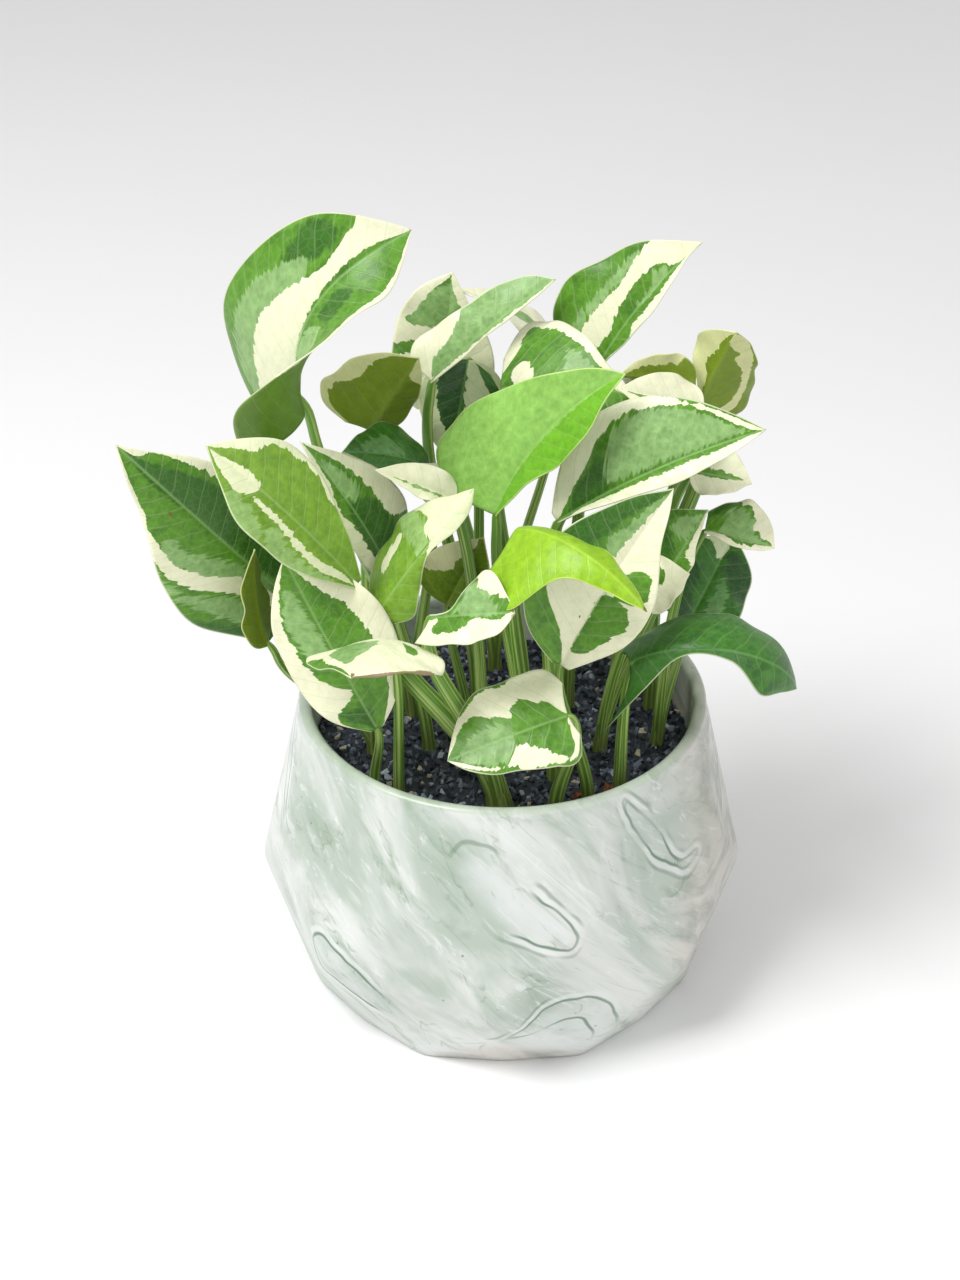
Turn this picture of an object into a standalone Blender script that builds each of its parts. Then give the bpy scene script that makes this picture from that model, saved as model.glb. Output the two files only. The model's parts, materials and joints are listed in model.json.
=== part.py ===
"""A potted pothos: a faceted planter with a round mouth, soil and gravel inside it, and a crown of
leaves on curved stems. Units are metres, Z is up, the front is -Y, and the foot rests on z = 0.

Leaves and stems are laid out in millimetres from the middle of the gravel's top, then scaled with
the mouth, so a wider pot carries a wider crown."""

import bmesh
import bpy
import numpy as np

MM = 0.001

# Planter
POT_HEIGHT = 103 * MM
MOUTH_RADIUS = 62 * MM
LIP_THICKNESS = 4.2 * MM
SHOULDER_RADIUS = 76 * MM      # ring of eight corners between the mouth and the belly
SHOULDER_SHARE = 0.65          # height of that ring as a share of the pot's height
BELLY_RADIUS = 82 * MM         # ring of eight corners where the pot is widest
BELLY_SHARE = 0.34
FOOT_RADIUS = 67.4 * MM
FOOT_SIDE_SHARE = 0.96         # the foot's sides bulge a little from a straight eight-sided outline
FLOOR_THICKNESS = 9 * MM
FLOOR_INNER_RADIUS = 55 * MM
FACET_COUNT = 8
EDGE_SOFTNESS = 2.4 * MM       # rounding of the ridges between facets
ROUND_SEGMENTS = 64

# Filling
GRAVEL_BELOW_RIM = 20 * MM
GRAVEL_DEPTH = 11 * MM
FIT_GAP = 0.3 * MM             # clearance wherever two solids would otherwise touch

# Crown
DRAWN_MOUTH_RADIUS = 62 * MM   # the mouth the leaf table below was laid out for
CROWN_SCALE = MOUTH_RADIUS / DRAWN_MOUTH_RADIUS
LEAF_THICKNESS = 0.7 * MM
STEM_RADIUS = 1.7 * MM         # an ordinary petiole at its foot
STEM_TAPER = 0.6               # radius under the blade as a share of the radius at the foot
ROWS_ALONG = 9
ROWS_ACROSS = 6
STEM_POINTS = 8

GRAVEL_TOP = POT_HEIGHT - GRAVEL_BELOW_RIM
SOIL_TOP = GRAVEL_TOP - GRAVEL_DEPTH

# One row per leaf. base and tip: where the blade joins its stem and ends, millimetres from the middle of
# the gravel's top. face: which way the upper side looks, as (direction round Z, height above level).
# halves: width left and right of the midrib. fold: lift of the halves. droop, sway: bend of the midrib
# down and sideways. curl: how each half bends across, (near the base, near the tip). widest: where along
# the blade. lobe: how far the heart lobes reach behind the base.
FLAT = ((-10, -10), (-10, -10))
CUPPED = ((-20, -20), (-20, -20))
LEAVES = {
    "top_left": dict(base=(-61, 2, 121), tip=(-27, 8, 174), face=(-125, 25), halves=(34, 29), fold=12,
                     droop=75, sway=-15, curl=((-15, -10), (135, 10)), widest=0.40, lobe=0.07),
    "far_left": dict(base=(-65, -4, 54), tip=(-113, -22, 120), face=(-95, 35), halves=(27, 24), fold=5,
                     droop=15, sway=0, curl=FLAT, widest=0.42, lobe=0.07),
    "left_sliver": dict(base=(-73, -22, 51), tip=(-75, -20, 84), face=(160, 20), halves=(9, 9), fold=10,
                        droop=25, sway=0, curl=FLAT, widest=0.35, lobe=0.05),
    "mid_left": dict(base=(-44, -27, 76), tip=(-85, -34, 126), face=(-75, 50), halves=(15, 18), fold=10,
                     droop=25, sway=0, curl=FLAT, widest=0.40, lobe=0.07),
    "low_left": dict(base=(-39, -37, 30), tip=(-62, -28, 74), face=(-95, 28), halves=(18, 18), fold=10,
                     droop=15, sway=0, curl=CUPPED, widest=0.55, lobe=0.0),
    "white_left": dict(base=(-35, 0, 63), tip=(-61, -6, 113), face=(-80, 60), halves=(14, 17), fold=10,
                       droop=25, sway=0, curl=CUPPED, widest=0.35, lobe=0.07),
    "dark_left": dict(base=(-23, 19, 91), tip=(-50, 10, 101), face=(-95, 65), halves=(7, 16), fold=0,
                      droop=40, sway=0, curl=CUPPED, widest=0.35, lobe=0.07),
    "olive_back": dict(base=(-42, 33, 97), tip=(-26, 25, 126), face=(100, 10), halves=(9, 23), fold=10,
                       droop=20, sway=0, curl=FLAT, widest=0.35, lobe=0.07),
    "long_top": dict(base=(-23, 32, 115), tip=(15, 39, 142), face=(-105, 60), halves=(17, 12), fold=20,
                     droop=20, sway=0, curl=FLAT, widest=0.35, lobe=0.16),
    "top_middle": dict(base=(-20, 59, 92), tip=(-16, 57, 136), face=(-90, 40), halves=(17, 16), fold=10,
                       droop=20, sway=0, curl=CUPPED, widest=0.35, lobe=0.07),
    "top_behind": dict(base=(19, 62, 112), tip=(-15, 60, 134), face=(0, 75), halves=(14, 10), fold=10,
                       droop=30, sway=0, curl=FLAT, widest=0.35, lobe=0.07),
    "dark_middle": dict(base=(-11, 45, 116), tip=(-17, 33, 85), face=(-90, 35), halves=(14, 14), fold=10,
                        droop=10, sway=0, curl=FLAT, widest=0.35, lobe=0.07),
    "arched": dict(base=(-1, 26, 115), tip=(42, 10, 120), face=(-95, 50), halves=(27, 18), fold=5,
                   droop=50, sway=0, curl=CUPPED, widest=0.35, lobe=0.07),
    "big_middle": dict(base=(-3, -8, 89), tip=(35, -12, 138), face=(-115, 45), halves=(23, 18), fold=22,
                       droop=10, sway=-20, curl=CUPPED, widest=0.35, lobe=0.07),
    "big_right": dict(base=(16, -12, 89), tip=(76, -18, 123), face=(-95, 45), halves=(25, 16), fold=20,
                      droop=15, sway=-12, curl=CUPPED, widest=0.35, lobe=0.07),
    "top_right": dict(base=(29, 32, 119), tip=(57, 34, 157), face=(-125, 30), halves=(20, 11), fold=20,
                      droop=5, sway=-20, curl=CUPPED, widest=0.35, lobe=0.07),
    "far_right": dict(base=(61, 26, 110), tip=(71, 24, 135), face=(80, 10), halves=(15, 16), fold=15,
                      droop=25, sway=0, curl=((30, 30), (30, 30)), widest=0.45, lobe=0.07),
    "olive_right": dict(base=(59, 23, 117), tip=(35, 19, 123), face=(80, 10), halves=(9, 12), fold=25,
                        droop=20, sway=0, curl=FLAT, widest=0.35, lobe=0.07),
    "right_sliver": dict(base=(61, 13, 114), tip=(34, 7, 124), face=(-90, 60), halves=(12, 9), fold=20,
                         droop=10, sway=0, curl=FLAT, widest=0.35, lobe=0.07),
    "small_right": dict(base=(58, 7, 96), tip=(76, 1, 95), face=(-90, 60), halves=(11, 8), fold=10,
                        droop=10, sway=0, curl=FLAT, widest=0.35, lobe=0.07),
    "side_right": dict(base=(62, -3, 81), tip=(83, -9, 78), face=(-90, 55), halves=(13, 7), fold=10,
                       droop=30, sway=0, curl=CUPPED, widest=0.35, lobe=0.07),
    "dark_right": dict(base=(59, 3, 42), tip=(73, 12, 71), face=(-90, 35), halves=(17, 17), fold=8,
                       droop=20, sway=0, curl=CUPPED, widest=0.45, lobe=0.10),
    "back_right": dict(base=(50, -15, 73), tip=(65, -9, 96), face=(-90, 40), halves=(15, 15), fold=8,
                       droop=10, sway=0, curl=CUPPED, widest=0.35, lobe=0.07),
    "tip_right": dict(base=(42, -19, 66), tip=(56, -21, 76), face=(-90, 55), halves=(12, 8), fold=15,
                      droop=10, sway=0, curl=FLAT, widest=0.35, lobe=0.07),
    "front_right": dict(base=(17, -36, 53), tip=(49, -28, 109), face=(-85, 30), halves=(23, 21), fold=18,
                        droop=5, sway=-8, curl=FLAT, widest=0.35, lobe=0.07),
    "lime": dict(base=(3, -29, 96), tip=(40, -59, 86), face=(-80, 60), halves=(10, 23), fold=-20,
                 droop=85, sway=0, curl=((-60, -20), (-15, -10)), widest=0.22, lobe=0.20),
    "hooked": dict(base=(38, -32, 51), tip=(90, -30, 40), face=(-90, 60), halves=(13, 16), fold=-28,
                   droop=135, sway=0, curl=((-40, -20), (-20, -20)), widest=0.40, lobe=0.25),
    "front": dict(base=(19, -50, 44), tip=(-17, -58, 33), face=(-90, 55), halves=(11, 14), fold=5,
                  droop=15, sway=0, curl=CUPPED, widest=0.35, lobe=0.15),
    "small_middle": dict(base=(-22, -43, 74), tip=(0, -53, 82), face=(-100, 50), halves=(15, 10), fold=12,
                         droop=10, sway=0, curl=((0, 0), (0, 0)), widest=0.45, lobe=0.20),
    "torn": dict(base=(-34, -42, 66), tip=(-44, -66, 68), face=(-130, 65), halves=(22, 24), fold=-5,
                 droop=30, sway=0, curl=CUPPED, widest=0.35, lobe=0.07),
    "curled": dict(base=(-38, -27, 66), tip=(-9, -17, 103), face=(-110, 40), halves=(20, 14), fold=-25,
                   droop=20, sway=0, curl=CUPPED, widest=0.35, lobe=0.07),
    "rolled": dict(base=(-15, -2, 91), tip=(-39, -7, 104), face=(-90, 50), halves=(5, 7), fold=30,
                   droop=20, sway=0, curl=FLAT, widest=0.35, lobe=0.07),
    "behind_rolled": dict(base=(-13, 8, 82), tip=(-31, 8, 97), face=(-60, 60), halves=(8, 10), fold=10,
                          droop=10, sway=0, curl=FLAT, widest=0.35, lobe=0.07),
    "gap_middle": dict(base=(-18, 10, 46), tip=(-6, 10, 71), face=(-90, 45), halves=(14, 12), fold=20,
                       droop=10, sway=0, curl=FLAT, widest=0.35, lobe=0.07),
}

# One row per clump of stems: where it leaves the gravel, how thick it is, and the leaves it carries.
STEMS = {
    "front_left": dict(foot=(-41, -27), size=1.15, leaves=["low_left"]),
    "torn": dict(foot=(-33, -31), size=1.15, leaves=["torn"]),
    "thick": dict(foot=(-1, -37), size=2.3, leaves=["curled", "small_middle"]),
    "left": dict(foot=(-42, -8), size=1.3, leaves=["mid_left", "left_sliver"]),
    "far_left": dict(foot=(-44, 6), size=1.4, leaves=["far_left", "olive_back"]),
    "top_left": dict(foot=(-30, 14), size=1.5, leaves=["top_left", "dark_left"]),
    "middle_left": dict(foot=(-24, -6), size=1.3, leaves=["white_left"]),
    "inner": dict(foot=(-6, -16), size=1.4, leaves=["rolled", "behind_rolled"]),
    "gap": dict(foot=(-11, 6), size=1.1, leaves=["gap_middle"]),
    "back": dict(foot=(-8, 26), size=1.5, leaves=["long_top", "dark_middle"]),
    "back_edge": dict(foot=(-2, 42), size=1.4, leaves=["top_middle", "top_behind"]),
    "arched": dict(foot=(8, 14), size=1.4, leaves=["arched"]),
    "big_middle": dict(foot=(8, -16), size=1.5, leaves=["big_middle", "lime"]),
    "big_right": dict(foot=(17, -22), size=1.6, leaves=["big_right"]),
    "front": dict(foot=(16, -41), size=1.5, leaves=["front"]),
    "front_right": dict(foot=(27, -34), size=1.3, leaves=["front_right"]),
    "top_right": dict(foot=(22, 18), size=1.4, leaves=["top_right"]),
    "hooked": dict(foot=(37, -28), size=1.4, leaves=["hooked"]),
    "inner_right": dict(foot=(32, -6), size=1.4, leaves=["back_right", "tip_right"]),
    "right": dict(foot=(51, -2), size=1.4, leaves=["dark_right", "side_right"]),
    "right_back": dict(foot=(50, 18), size=1.3, leaves=["small_right"]),
    "far_right": dict(foot=(38, 24), size=1.5, leaves=["far_right", "olive_right", "right_sliver"]),
}


def unit(v):
    return v / np.linalg.norm(v)


def material(name, colour, roughness, metallic=0.0):
    mat = bpy.data.materials.new(name)
    mat.use_nodes = True
    shader = mat.node_tree.nodes["Principled BSDF"]
    shader.inputs["Base Color"].default_value = (*colour, 1)
    shader.inputs["Roughness"].default_value = roughness
    shader.inputs["Metallic"].default_value = metallic
    return mat


def place(name, mesh, mat, smooth=True):
    obj = bpy.data.objects.new(name, mesh)
    collection.objects.link(obj)
    mesh.materials.clear()
    mesh.materials.append(mat)
    mesh.polygons.foreach_set("use_smooth", [smooth] * len(mesh.polygons))
    return obj


def helper(name, mesh):
    obj = bpy.data.objects.new(name, mesh)
    helpers.objects.link(obj)
    obj.hide_render = True
    obj.display_type = "WIRE"
    return obj


def boolean(obj, other, operation):
    mod = obj.modifiers.new(operation.title(), "BOOLEAN")
    mod.operation = operation
    mod.solver = "EXACT"
    mod.object = other


def ring(radius, z, count, turn=0.0):
    angles = 2 * np.pi * (np.arange(count) + turn) / count
    return [(radius * np.sin(a), -radius * np.cos(a), z) for a in angles]


def lathe(name, profile):
    """Closed solid of revolution from (radius, z) points that start and end on the axis."""
    bm = bmesh.new()
    verts = [bm.verts.new((r, 0, z)) for r, z in profile]
    edges = [bm.edges.new(pair) for pair in zip(verts[:-1], verts[1:])]
    bmesh.ops.spin(bm, geom=verts + edges, cent=(0, 0, 0), axis=(0, 0, 1),
                   angle=2 * np.pi, steps=ROUND_SEGMENTS, use_merge=True)
    bmesh.ops.remove_doubles(bm, verts=bm.verts, dist=1e-6)
    bmesh.ops.recalc_face_normals(bm, faces=bm.faces)
    mesh = bpy.data.meshes.new(name)
    bm.to_mesh(mesh)
    bm.free()
    return mesh


def inner_radius(z):
    """Radius of the pot's cavity at height z: a gentle taper below the gravel, straight above it."""
    share = (z - FLOOR_THICKNESS) / (GRAVEL_TOP - FLOOR_THICKNESS)
    return FLOOR_INNER_RADIUS + (MOUTH_RADIUS - FLOOR_INNER_RADIUS) * min(share, 1)


def build_pot():
    rim = MOUTH_RADIUS + LIP_THICKNESS
    lip = LIP_THICKNESS / 2
    points = ring(rim - lip * 0.9, POT_HEIGHT, ROUND_SEGMENTS)
    points += ring(rim - lip * 0.3, POT_HEIGHT - lip * 0.3, ROUND_SEGMENTS)
    points += ring(rim, POT_HEIGHT - lip, ROUND_SEGMENTS)
    points += ring(SHOULDER_RADIUS, POT_HEIGHT * SHOULDER_SHARE, FACET_COUNT, turn=0.5)
    points += ring(BELLY_RADIUS, POT_HEIGHT * BELLY_SHARE, FACET_COUNT)
    points += ring(FOOT_RADIUS, 0, FACET_COUNT, turn=0.5)
    points += ring(FOOT_RADIUS * FOOT_SIDE_SHARE, 0, FACET_COUNT)
    bm = bmesh.new()
    for p in points:
        bm.verts.new(p)
    hull = bmesh.ops.convex_hull(bm, input=bm.verts)
    bmesh.ops.delete(bm, geom=hull["geom_interior"], context="VERTS")
    bmesh.ops.dissolve_limit(bm, angle_limit=0.01, verts=bm.verts, edges=bm.edges)
    bmesh.ops.recalc_face_normals(bm, faces=bm.faces)
    mesh = bpy.data.meshes.new("pot")
    bm.to_mesh(mesh)
    bm.free()
    pot = place("pot", mesh, material("marbled_glaze", (0.62, 0.68, 0.62), 0.3))
    soften = pot.modifiers.new("SoftRidges", "BEVEL")
    soften.width = EDGE_SOFTNESS
    soften.segments = 2
    soften.limit_method = "ANGLE"
    soften.angle_limit = np.radians(9)
    cavity = lathe("cavity", [
        (0, FLOOR_THICKNESS),
        (FLOOR_INNER_RADIUS, FLOOR_THICKNESS),
        (MOUTH_RADIUS, GRAVEL_TOP),
        (MOUTH_RADIUS, POT_HEIGHT - lip),
        (MOUTH_RADIUS + lip * 0.3, POT_HEIGHT - lip * 0.3),
        (MOUTH_RADIUS + lip * 0.9, POT_HEIGHT),
        (MOUTH_RADIUS + lip * 0.9, POT_HEIGHT + 5 * MM),
        (0, POT_HEIGHT + 5 * MM),
    ])
    boolean(pot, helper("cavity", cavity), "DIFFERENCE")


def build_filling():
    layers = (
        ("potting_soil", FLOOR_THICKNESS + FIT_GAP, SOIL_TOP, (0.05, 0.035, 0.025), 0.95),
        ("gravel_bed", SOIL_TOP + FIT_GAP, GRAVEL_TOP, (0.03, 0.035, 0.045), 0.6),
    )
    for name, low, high, colour, roughness in layers:
        mesh = lathe(name, [
            (0, low),
            (inner_radius(low) - FIT_GAP * 1.5, low),
            (inner_radius(high) - FIT_GAP * 1.5, high),
            (0, high),
        ])
        place(name, mesh, material(name, colour, roughness), smooth=False)


def crown_point(p):
    """A point of the tables above, in metres in the pot's frame."""
    return np.array((p[0] * CROWN_SCALE, p[1] * CROWN_SCALE, p[2] * CROWN_SCALE)) * MM + (0, 0, GRAVEL_TOP)


def facing(turn, lift):
    turn, lift = np.radians((turn, lift))
    return np.array((np.cos(turn) * np.cos(lift), np.sin(turn) * np.cos(lift), np.sin(lift)))


def midrib(leaf, along):
    """Points, directions, upper-side normals and leftward directions of the midrib at these shares."""
    fine = np.linspace(0, 1, 81)
    down = -np.radians(leaf["droop"]) * fine
    aside = np.radians(leaf["sway"]) * fine
    ahead = np.stack([np.cos(down) * np.cos(aside), np.cos(down) * np.sin(aside), np.sin(down)], -1)
    upper = np.stack([-np.sin(down) * np.cos(aside), -np.sin(down) * np.sin(aside), np.cos(down)], -1)
    left = np.cross(upper, ahead)
    steps = (ahead[1:] + ahead[:-1]) / 2 / (len(fine) - 1)
    points = np.concatenate([np.zeros((1, 3)), np.cumsum(steps, 0)])
    chord = np.linalg.norm(points[-1])
    x = points[-1] / chord
    z = unit(np.array((0, 0, 1)) - x * x[2])
    drawn = np.stack([x, np.cross(z, x), z])
    base = crown_point(leaf["base"])
    tip = crown_point(leaf["tip"])
    x = unit(tip - base)
    look = facing(*leaf["face"])
    z = unit(look - x * (look @ x))
    placed = np.stack([x, np.cross(z, x), z])
    turn = drawn.T @ placed
    points = points @ turn * np.linalg.norm(tip - base) / chord + base
    return [np.stack([np.interp(along, fine, v[:, k]) for k in range(3)], -1)
            for v in (points, ahead @ turn, upper @ turn, left @ turn)]


def blade_points(leaf, along, across):
    """Blade surface as rows along the midrib by columns from the right margin to the left one."""
    points, ahead, upper, left = midrib(leaf, along)
    length = np.linalg.norm(crown_point(leaf["tip"]) - crown_point(leaf["base"]))
    rise = 1.45 * leaf["widest"]
    fall = 1.45 - rise
    peak = leaf["widest"] ** rise * (1 - leaf["widest"]) ** fall
    width = np.maximum(along ** rise * (1 - along) ** fall / peak, 0.12 * (1 - along) ** 8)
    s, t = np.meshgrid(along, across, indexing="ij")
    side = np.where(t < 0, -1, 1)
    out = np.abs(t)
    half = np.where(side > 0, leaf["halves"][0], leaf["halves"][1]) * CROWN_SCALE * MM
    near = np.where(side > 0, leaf["curl"][0][0], leaf["curl"][1][0])
    far = np.where(side > 0, leaf["curl"][0][1], leaf["curl"][1][1])
    curl = np.radians(near + (far - near) * s)
    curl = np.where(np.abs(curl) < 0.001, 0.001, curl)
    fold = np.radians(leaf["fold"])
    aside = side * (np.sin(fold + curl * out) - np.sin(fold)) / curl * half * width[:, None]
    lift = (np.cos(fold) - np.cos(fold + curl * out)) / curl * half * width[:, None]
    back = leaf["lobe"] * length * out ** 2 * (1 - s) ** 8
    return (points[:, None] + aside[..., None] * left[:, None]
            + lift[..., None] * upper[:, None] - back[..., None] * ahead[:, None])


def build_leaf(name, leaf, mat):
    along = np.linspace(0, 1, ROWS_ALONG)
    across = np.linspace(-1, 1, ROWS_ACROSS + 1)
    points = blade_points(leaf, along, across)
    bm = bmesh.new()
    bmesh.ops.create_grid(bm, x_segments=ROWS_ALONG - 1, y_segments=ROWS_ACROSS, size=0.5)
    for vert in bm.verts:
        row = round((vert.co.x + 0.5) * (ROWS_ALONG - 1))
        column = round((vert.co.y + 0.5) * ROWS_ACROSS)
        vert.co = points[row, column]
    bmesh.ops.remove_doubles(bm, verts=bm.verts, dist=1e-6)
    mesh = bpy.data.meshes.new("leaf_" + name)
    bm.to_mesh(mesh)
    bm.free()
    obj = place("leaf_" + name, mesh, mat)
    thicken = obj.modifiers.new("Thickness", "SOLIDIFY")
    thicken.thickness = LEAF_THICKNESS * CROWN_SCALE
    thicken.offset = 0


def stem_path(stem, leaf):
    """Cubic curve from the foot up to just behind and under the blade's base."""
    foot = crown_point((*stem["foot"], 0)) + (0, 0, FIT_GAP)
    points, ahead, upper, _ = midrib(leaf, np.array((0.0,)))
    room = (LEAF_THICKNESS + STEM_RADIUS * stem["size"] * STEM_TAPER) * CROWN_SCALE
    end = points[0] - unit(ahead[0] * 0.4 + upper[0] * 0.9) * room * 1.15
    span = end - foot
    reach = np.linalg.norm(span)
    low = foot + np.array((span[0] * 0.1, span[1] * 0.1, reach * 0.4))
    high = end - unit(ahead[0] * 0.5 + np.array((0, 0, 1))) * reach * 0.28
    u = np.linspace(0, 1, STEM_POINTS)[:, None]
    path = (1 - u) ** 3 * foot + 3 * u * (1 - u) ** 2 * low + 3 * u * u * (1 - u) * high + u ** 3 * end
    return np.concatenate([path[:1], foot[None] + (0, 0, 1 * MM), path[1:]])


def tube(name, path, radius):
    curve = bpy.data.curves.new(name, "CURVE")
    curve.dimensions = "3D"
    curve.bevel_depth = radius
    curve.bevel_resolution = 1
    curve.use_fill_caps = True
    spline = curve.splines.new("POLY")
    spline.points.add(len(path) - 1)
    for k, p in enumerate(path):
        spline.points[k].co = (*p, 1)
        spline.points[k].radius = 1 + (STEM_TAPER - 1) * k / (len(path) - 1)
    drawn = bpy.data.objects.new(name, curve)
    mesh = bpy.data.meshes.new_from_object(drawn)
    bpy.data.objects.remove(drawn)
    bm = bmesh.new()
    bm.from_mesh(mesh)
    bmesh.ops.remove_doubles(bm, verts=bm.verts, dist=1e-6)
    bmesh.ops.recalc_face_normals(bm, faces=bm.faces)
    bm.to_mesh(mesh)
    bm.free()
    return mesh


def build_stem(name, stem, mat):
    main, *others = stem["leaves"]
    radius = STEM_RADIUS * stem["size"] * CROWN_SCALE
    obj = place("stem_" + name, tube(name, stem_path(stem, LEAVES[main]), radius), mat)
    for other in others:
        arm = helper("arm_" + other, tube(other, stem_path(stem, LEAVES[other]), radius * 0.85))
        boolean(obj, arm, "UNION")


for old in list(bpy.data.objects):
    bpy.data.objects.remove(old)
collection = bpy.data.collections.new("potted_pothos")
helpers = bpy.data.collections.new("helpers")
for group in (collection, helpers):
    bpy.context.scene.collection.children.link(group)
helpers.hide_render = True

build_pot()
build_filling()
blade_green = material("leaf_variegated", (0.25, 0.42, 0.12), 0.45)
blade_plain = material("leaf_green", (0.20, 0.45, 0.05), 0.4)
blade_dark = material("leaf_dark", (0.05, 0.16, 0.04), 0.3)
petiole = material("stem_green", (0.28, 0.38, 0.14), 0.5)
for name, leaf in LEAVES.items():
    mat = {"big_middle": blade_plain, "lime": blade_plain, "hooked": blade_dark,
           "dark_right": blade_dark}.get(name, blade_green)
    build_leaf(name, leaf, mat)
for name, stem in STEMS.items():
    build_stem(name, stem, petiole)
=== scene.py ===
import bmesh
import bpy
import numpy as np
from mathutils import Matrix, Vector
from mathutils.bvhtree import BVHTree
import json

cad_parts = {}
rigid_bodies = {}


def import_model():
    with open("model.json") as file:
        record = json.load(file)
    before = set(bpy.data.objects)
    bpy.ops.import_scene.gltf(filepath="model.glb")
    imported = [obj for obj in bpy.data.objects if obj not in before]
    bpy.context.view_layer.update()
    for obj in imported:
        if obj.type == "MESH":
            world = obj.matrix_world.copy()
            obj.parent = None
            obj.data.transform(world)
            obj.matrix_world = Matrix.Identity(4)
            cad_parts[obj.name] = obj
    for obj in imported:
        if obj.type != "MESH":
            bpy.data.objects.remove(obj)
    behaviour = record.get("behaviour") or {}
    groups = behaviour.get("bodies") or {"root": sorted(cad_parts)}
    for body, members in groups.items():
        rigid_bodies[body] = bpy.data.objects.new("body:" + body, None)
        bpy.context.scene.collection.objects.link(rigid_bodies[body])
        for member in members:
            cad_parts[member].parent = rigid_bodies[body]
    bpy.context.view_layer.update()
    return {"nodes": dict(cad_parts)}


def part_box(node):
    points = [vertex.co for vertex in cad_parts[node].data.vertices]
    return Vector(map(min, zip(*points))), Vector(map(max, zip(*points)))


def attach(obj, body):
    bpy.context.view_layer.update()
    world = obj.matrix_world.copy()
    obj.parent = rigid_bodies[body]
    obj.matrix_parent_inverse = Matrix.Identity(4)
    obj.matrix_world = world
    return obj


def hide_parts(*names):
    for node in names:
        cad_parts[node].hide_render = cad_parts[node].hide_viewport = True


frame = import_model()
mm = 0.001
wholeTurn = 2 * np.pi
potLow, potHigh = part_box("pot")
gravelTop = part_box("gravel_bed")[1].z
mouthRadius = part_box("gravel_bed")[1].x + 0.45 * mm    # the filling stops a little short of the wall
print("frame loaded,", len(frame["nodes"]), "nodes")


# shader tree helpers

def srgb(red, green, blue):
    # a colour given the way paint programs show it, 0 to 255
    out = [c / 255 for c in (red, green, blue)]
    return (*[c / 12.92 if c <= 0.04045 else ((c + 0.055) / 1.055) ** 2.4 for c in out], 1)


def feed(tree, socket, value):
    if isinstance(value, bpy.types.NodeSocket):
        tree.links.new(value, socket)
    elif value is not None:
        socket.default_value = value


def calc(tree, operation, a, b=None, c=None):
    node = tree.nodes.new("ShaderNodeMath")
    node.operation = operation
    for socket, value in zip(node.inputs, (a, b, c)):
        feed(tree, socket, value)
    return node.outputs[0]


def flipped(tree, mask):
    return calc(tree, "SUBTRACT", 1.0, mask)


def swing(tree, value, size):
    # a noise from 0 to 1 made a push of up to half the size either way
    return calc(tree, "MULTIPLY_ADD", value, size, -size / 2)


def between(tree, value, low, high):
    # 0 below low, 1 above high, smooth in between
    node = tree.nodes.new("ShaderNodeMapRange")
    node.interpolation_type = "SMOOTHSTEP"
    feed(tree, node.inputs["Value"], value)
    feed(tree, node.inputs["From Min"], low)
    feed(tree, node.inputs["From Max"], high)
    return node.outputs["Result"]


def mixColour(tree, factor, a, b, blend="MIX"):
    node = tree.nodes.new("ShaderNodeMix")
    node.data_type = "RGBA"
    node.blend_type = blend
    feed(tree, node.inputs["Factor"], factor)
    feed(tree, node.inputs[6], a)
    feed(tree, node.inputs[7], b)
    return node.outputs[2]


def painted(tree, under, over, mask, strength):
    # the colour over laid on the colour under where the mask is
    return mixColour(tree, calc(tree, "MULTIPLY", mask, strength), under, over)


def noise(tree, vector, scale, detail=2.0, roughness=0.5, distortion=0.0):
    node = tree.nodes.new("ShaderNodeTexNoise")
    feed(tree, node.inputs["Vector"], vector)
    feed(tree, node.inputs["Scale"], scale)
    feed(tree, node.inputs["Detail"], detail)
    feed(tree, node.inputs["Roughness"], roughness)
    feed(tree, node.inputs["Distortion"], distortion)
    return node.outputs[0]


def stretched(tree, vector, x, y, z):
    node = tree.nodes.new("ShaderNodeVectorMath")
    node.operation = "MULTIPLY"
    feed(tree, node.inputs[0], vector)
    node.inputs[1].default_value = (x, y, z)
    return node.outputs[0]


def attribute(tree, name, output="Fac"):
    node = tree.nodes.new("ShaderNodeAttribute")
    node.attribute_name = name
    return node.outputs[output]


def objectPlace(tree):
    return tree.nodes.new("ShaderNodeTexCoord").outputs["Object"]


def parted(tree, vector):
    node = tree.nodes.new("ShaderNodeSeparateXYZ")
    feed(tree, node.inputs[0], vector)
    return node.outputs


def newGroup(name, inputs, outputs):
    group = bpy.data.node_groups.new(name, "ShaderNodeTree")
    kinds = {"colour": "NodeSocketColor", "number": "NodeSocketFloat"}
    for label, kind in inputs.items():
        group.interface.new_socket(label, in_out="INPUT", socket_type=kinds[kind])
    for label, kind in outputs.items():
        group.interface.new_socket(label, in_out="OUTPUT", socket_type=kinds[kind])
    return group, group.nodes.new("NodeGroupInput").outputs, group.nodes.new("NodeGroupOutput").inputs


def newMaterial(name, settings):
    material = bpy.data.materials.new(name)
    material.use_nodes = True
    shader = material.node_tree.nodes["Principled BSDF"]
    for label, value in settings.items():
        shader.inputs[label].default_value = value
    return material, material.node_tree, shader


def bump(tree, shader, height, strength, distance):
    node = tree.nodes.new("ShaderNodeBump")
    node.inputs["Strength"].default_value = strength
    node.inputs["Distance"].default_value = distance
    feed(tree, node.inputs["Height"], height)
    feed(tree, shader.inputs["Normal"], node.outputs[0])


# mesh helpers

def newObject(name, data):
    made = bpy.data.objects.new(name, data)
    bpy.context.scene.collection.objects.link(made)
    return made


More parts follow.
